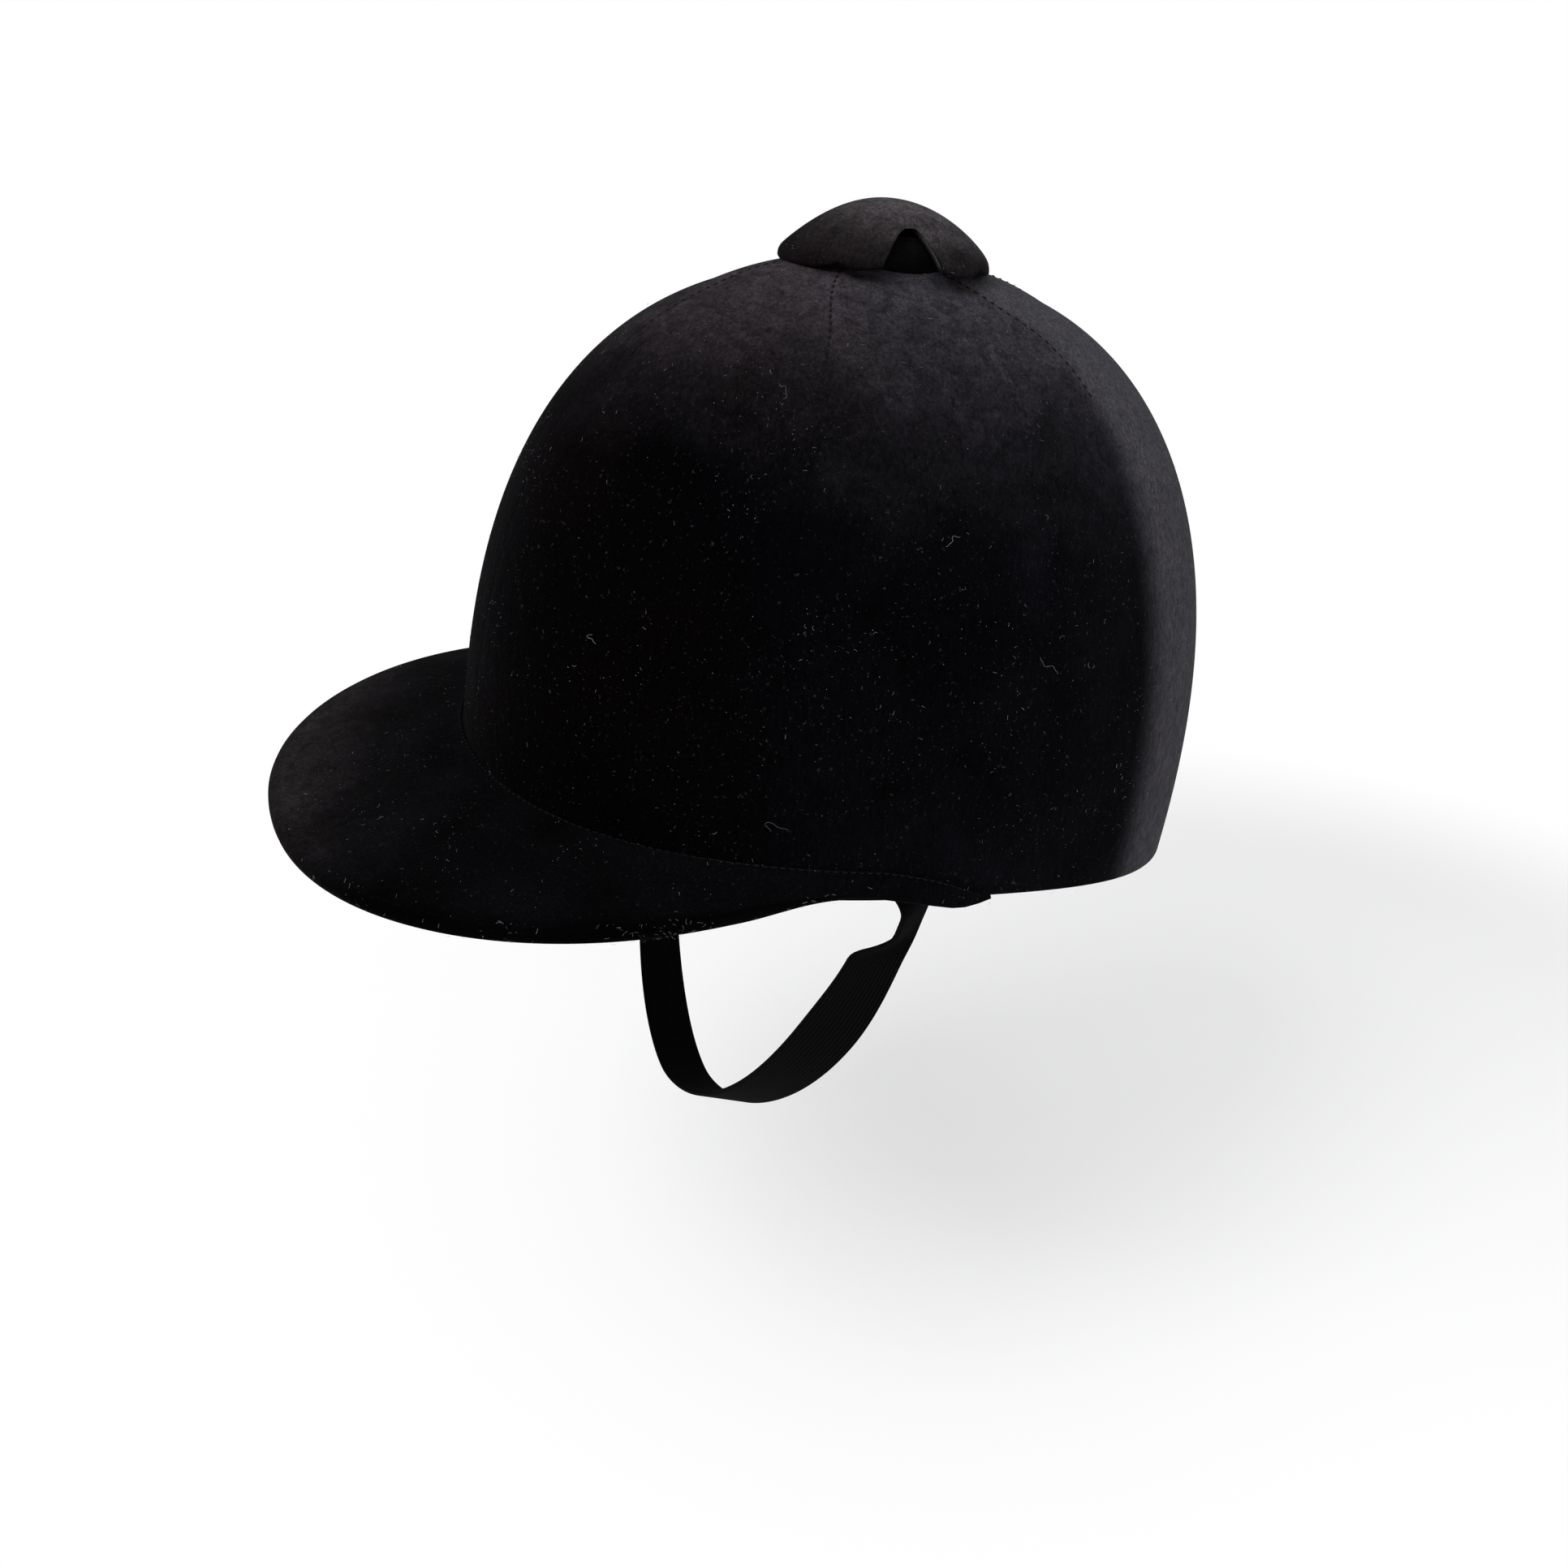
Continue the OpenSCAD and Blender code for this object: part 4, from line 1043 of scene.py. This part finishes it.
# Draw lace: three-ply rayon cord in the lining's top casing, drawn up to set the crown's height.
lace_radius, ply_radius, ply_offset = 0.0011, 0.00056, 0.00052
lace_depth = lining_in + lace_radius + 0.0001
lace_finish = thread_finish("lace_finish", (0.20, 0.035, 0.045))
lace_plies = []
for ply in range(3):
    rings = []
    for angle in (i / 2 for i in range(720)):
        centre = crown_skin(angle, climb(lining_top - lace_fall), lace_depth)
        out, up = Vector((sin_of(angle), -cos_of(angle), 0)), Vector((0, 0, 1))
        twist = radians(100 * angle) + ply * tau / 3
        centre += ply_offset * (cos(twist) * out + sin(twist) * up)
        rings.append([centre + ply_radius * (c * out + s * up) for c, s in circle(7)])
    lace_plies.append(make_tube(f"lace_ply_{ply + 1}", rings, lace_finish, closed=True))
    place_piece(lace_plies[ply], "cap", "lace")
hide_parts("draw_lace")

# Sweatband: brown calf skin, sewn in along its folded lower edge and open at the nape, where a
# small ribbon bow ties it.
band_out, band_in, band_low, band_high = 0.0164, 0.0178, 0.002, 0.038
band_wide, band_seam, band_rows, band_columns = 0.036, 0.0045, 24, 239
leather = leather_finish("leather_finish", (0.115, 0.050, 0.022), (0.225, 0.108, 0.050), 0.5, 1300)


def band_pair(i, j):
    """The band's edges are rounded off, its seam is pressed in, and its upper edge ripples."""
    part, angle = i / band_rows, -177 + 354 * j / band_columns
    share = (band_low + (band_high - band_low) * part) / crown_height
    edge = min(part, 1 - part) * (band_high - band_low)
    round_off = rolled(0.0006, edge, 0.0012)
    fold = ridge(0.0004, part * band_wide - band_seam, 0.0009)
    ripple = 0.00035 * sin_of(11 * angle) * part ** 2
    return (crown_skin(angle, share, band_out + round_off + max(ripple, -0.0002)),
            crown_skin(angle, share, band_in - round_off - fold + ripple))


grids = skin_grids(range(band_rows + 1), range(band_columns + 1), band_pair)
sweatband = make_sheet("leather_sweatband", *grids, leather)
place_piece(sweatband, "cap", "leather", "sweatband")
sew("sweatband_stitches", "leather", 0.0034, 0.0027, 0.0005,
    [crown_skin(angle / 2, (band_low + band_seam) / crown_height, band_in - 0.0003)
     for angle in range(-350, 351)], thread=thread_finish("tan_thread", (0.42, 0.27, 0.15)))

ribbon = Finish("ribbon_finish", 0.5, Specular_Ior_Level=0.45, Sheen_Weight=0.3)
ribs = ribbon.add("ShaderNodeTexWave", {"Scale": 420.0, "Distortion": 0.4},
                  vector=ribbon.place).outputs[1]
ribbon.feed("Base Color", ribbon.ramp(ribs, (0.2, (0.020, 0.011, 0.008)),
                                      (0.8, (0.060, 0.034, 0.024))))
ribbon.bump((ribs, 0.00012))
ribbon_thick, tail_half, tail_lean = 0.0003, 0.0015, 0.42
bow_seat = crown_skin(180, (band_low + band_wide * 0.6) / crown_height, band_in + 0.0014)
bow_place = Matrix.Translation(bow_seat) @ Matrix.Rotation(radians(93), 4, "X")


def ribbon_section(half):
    return (-half, 0), (half, 0), (half, ribbon_thick), (-half, ribbon_thick)


bow_pieces = []
for side, hand in ((-1, "right"), (1, "left")):
    loop, tail = [], []
    for down in (k / 24 for k in range(25)):
        turn = tau * down
        out = side * (0.0065 - 0.0058 * cos(turn))
        lift = 0.0008 + 0.0009 * sin(turn) * (1 - 0.3 * cos(turn))
        half = 0.0012 + 0.0028 * sin(turn / 2) ** 2
        loop.append([bow_place @ Vector((out, across, lift + thick))
                     for across, thick in ribbon_section(half)])
        tail.append([bow_place @ Vector((
            side * (0.0006 + 0.0052 * down) + across * cos(tail_lean),
            -0.0005 - 0.0118 * down - side * across * sin(tail_lean),
            0.0003 + 0.0005 * sin(5 * down) ** 2 + thick))
            for across, thick in ribbon_section(tail_half)])
    bow_pieces += [make_tube(f"bow_{part}_{hand}", rings, ribbon.material)
                   for part, rings in (("loop", loop), ("tail", tail))]
knot = []
for along in (-1 + k / 6 for k in range(13)):
    half = 0.0021 * sqrt(max(1 - (0.8 * along) ** 2, 0))
    knot.append([bow_place @ Vector((0.0019 * along, half * c, 0.0013 + 0.0008 * s))
                 for c, s in circle(12)])
bow_pieces.append(make_tube("bow_knot", knot, ribbon.material))
for piece in bow_pieces:
    place_piece(piece, "cap", "ribbon")
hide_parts("sweatband_bow")

# Chin strap: one loop of flat black ribbed elastic. Its ends are punched, each for an eyelet that
# turns on its rivet, and the webbing twists a little on its way down.
strap_wide, strap_thick, strap_drop, strap_round = 0.019, 0.0016, 0.1255, 1.75
strap_edge_turn, strap_twist, strap_low_turn, strap_slip = 36, 22, 8, 0.006
strap_hang = radians(6.5)
turn_from, turn_full, turn_back, turn_gone = 0.009, 0.022, 0.027, 0.040
jaw_from, jaw_full = 0.034, 0.076
rivet_up, tab_up, run_step = 0.017, 0.009, 0.001
end_points, loop_steps = 26, 260
shell_inside, spacer_off, spacer_long = 0.0045, 0.0012, 0.0028
eyelet_gap, flange_thick = 0.0003, 0.0004
ribs_across, rib_high, rib_points = 15, 0.00013, 6
rivet_wall = crown_skin(angle_at(-rivet_front), rivet_up / crown_height, shell_inside).x
strap_middle = rivet_wall - spacer_off - spacer_long - eyelet_gap - flange_thick - strap_thick / 2
strap_place = Matrix.Translation((0, -rivet_front, rivet_up)) @ Matrix.Rotation(-strap_hang, 4, "X")


def loop_place(turn):
    """Across and down at an angle of the loop: -90 is its right end and 90 its left end."""
    b = radians(turn)
    return (strap_middle * signed_power(sin(b), 2 / strap_round),
            rivet_up + strap_drop * max(cos(b), 0) ** (2 / strap_round))


def ease(start, end, down):
    return (1 - cos(pi * within((down - start) / (end - start)))) / 2


def slip(down):
    """How far the webbing is into its turn just below the rim, from 0 to 1."""
    return ease(turn_from, turn_full, down) - ease(turn_back, turn_gone, down)


def strap_turn(down):
    """Turn of the webbing at a way down: none at the eyelet, one way at the rim, then the other."""
    untwist = (strap_twist - strap_low_turn) * ease(jaw_full, rivet_up + strap_drop, down)
    return radians(strap_edge_turn * slip(down) - strap_twist * ease(jaw_from, jaw_full, down)
                   + untwist)


strap_run = ([(-strap_middle, -tab_up + run_step * k) for k in range(end_points)]
             + [loop_place(-90 + 180 * k / loop_steps) for k in range(1, loop_steps)]
             + [(strap_middle, rivet_up - run_step * k - run_step) for k in range(end_points)])
section_points = ribs_across * rib_points
strap_section = [(side, k / section_points if side < 0 else 1 - k / section_points)
                 for side in (-1, 1) for k in range(section_points + 1)]
cloth_rows, rings = [], []
length, crosswise = 0.0, Vector((0, 1, 0))
for i, (across, down) in enumerate(strap_run):
    before, after = strap_run[max(i - 1, 0)], strap_run[min(i + 1, len(strap_run) - 1)]
    way = Vector((after[0] - before[0], 0, -(after[1] - before[1]))).normalized()
    length += dist(before, (across, down))
    face, turn = Vector((-way.z, 0, way.x)), strap_turn(down)
    wide = cos(turn) * crosswise + sin(turn) * face
    thick = cos(turn) * face - sin(turn) * crosswise
    centre = Vector((across, strap_slip * slip(down), -down))
    rings.append([])
    for side, part in strap_section:
        place_across = (part - 0.5) * strap_wide
        rib = rib_high * abs(cos(pi * part * ribs_across))
        edge = rolled(0.00045, min(part, 1 - part), 0.035)
        rings[-1].append(strap_place @ (centre + place_across * wide
                                        + side * (strap_thick / 2 - rib - edge) * thick))
        cloth_rows.append((length, place_across, side))
elastic = Finish("elastic_finish", 0.85, Specular_Ior_Level=0.03)
picks, cords = (
    elastic.add("ShaderNodeTexWave", settings, vector=elastic.cloth()).outputs[1] for settings in (
        {"bands_direction": "X", "Scale": 520.0, "Distortion": 0.6, "Detail": 2.0},
        {"bands_direction": "Y", "Scale": 250.0, "Distortion": 0.3}))
fluff = elastic.noise(1900, 3)
# The cords are lighter on top: the ribbed weave's own tone, with a painted highlight along the
# ribs.
colour = elastic.ramp(cords, (0.1, (0.0004, 0.0003, 0.0004)), (0.9, (0.0052, 0.0046, 0.0048)))
colour = elastic.mix("MULTIPLY", 0.5, colour, elastic.ramp(picks, (0.1, 0.4), (0.9, 1.0)))
elastic.feed("Base Color", elastic.mix("MULTIPLY", 0.5, colour,
                                       elastic.ramp(fluff, (0.3, 0.4), (0.7, 1.0))))
elastic.bump((picks, 0.00008), (cords, 0.00012), (fluff, 0.00006))
strap = make_tube("elastic_chin_strap", rings, elastic.material, cloth=cloth_rows)
place_piece(strap, "strap", "elastic", "chin_strap")

# Rivets, eyelets and spacers: nickel-plated steel, and nylon spacers that hold the strap off the
# shell. They are kept as packed.
plated = metal_finish("plated_finish", (0.60, 0.59, 0.57), 0.28)
dress_node("strap_eyelets", plated)
dress_node("strap_rivets", plated)
dress_node("strap_spacers", moulded_finish("nylon_finish", (0.62, 0.60, 0.55), 0.45))
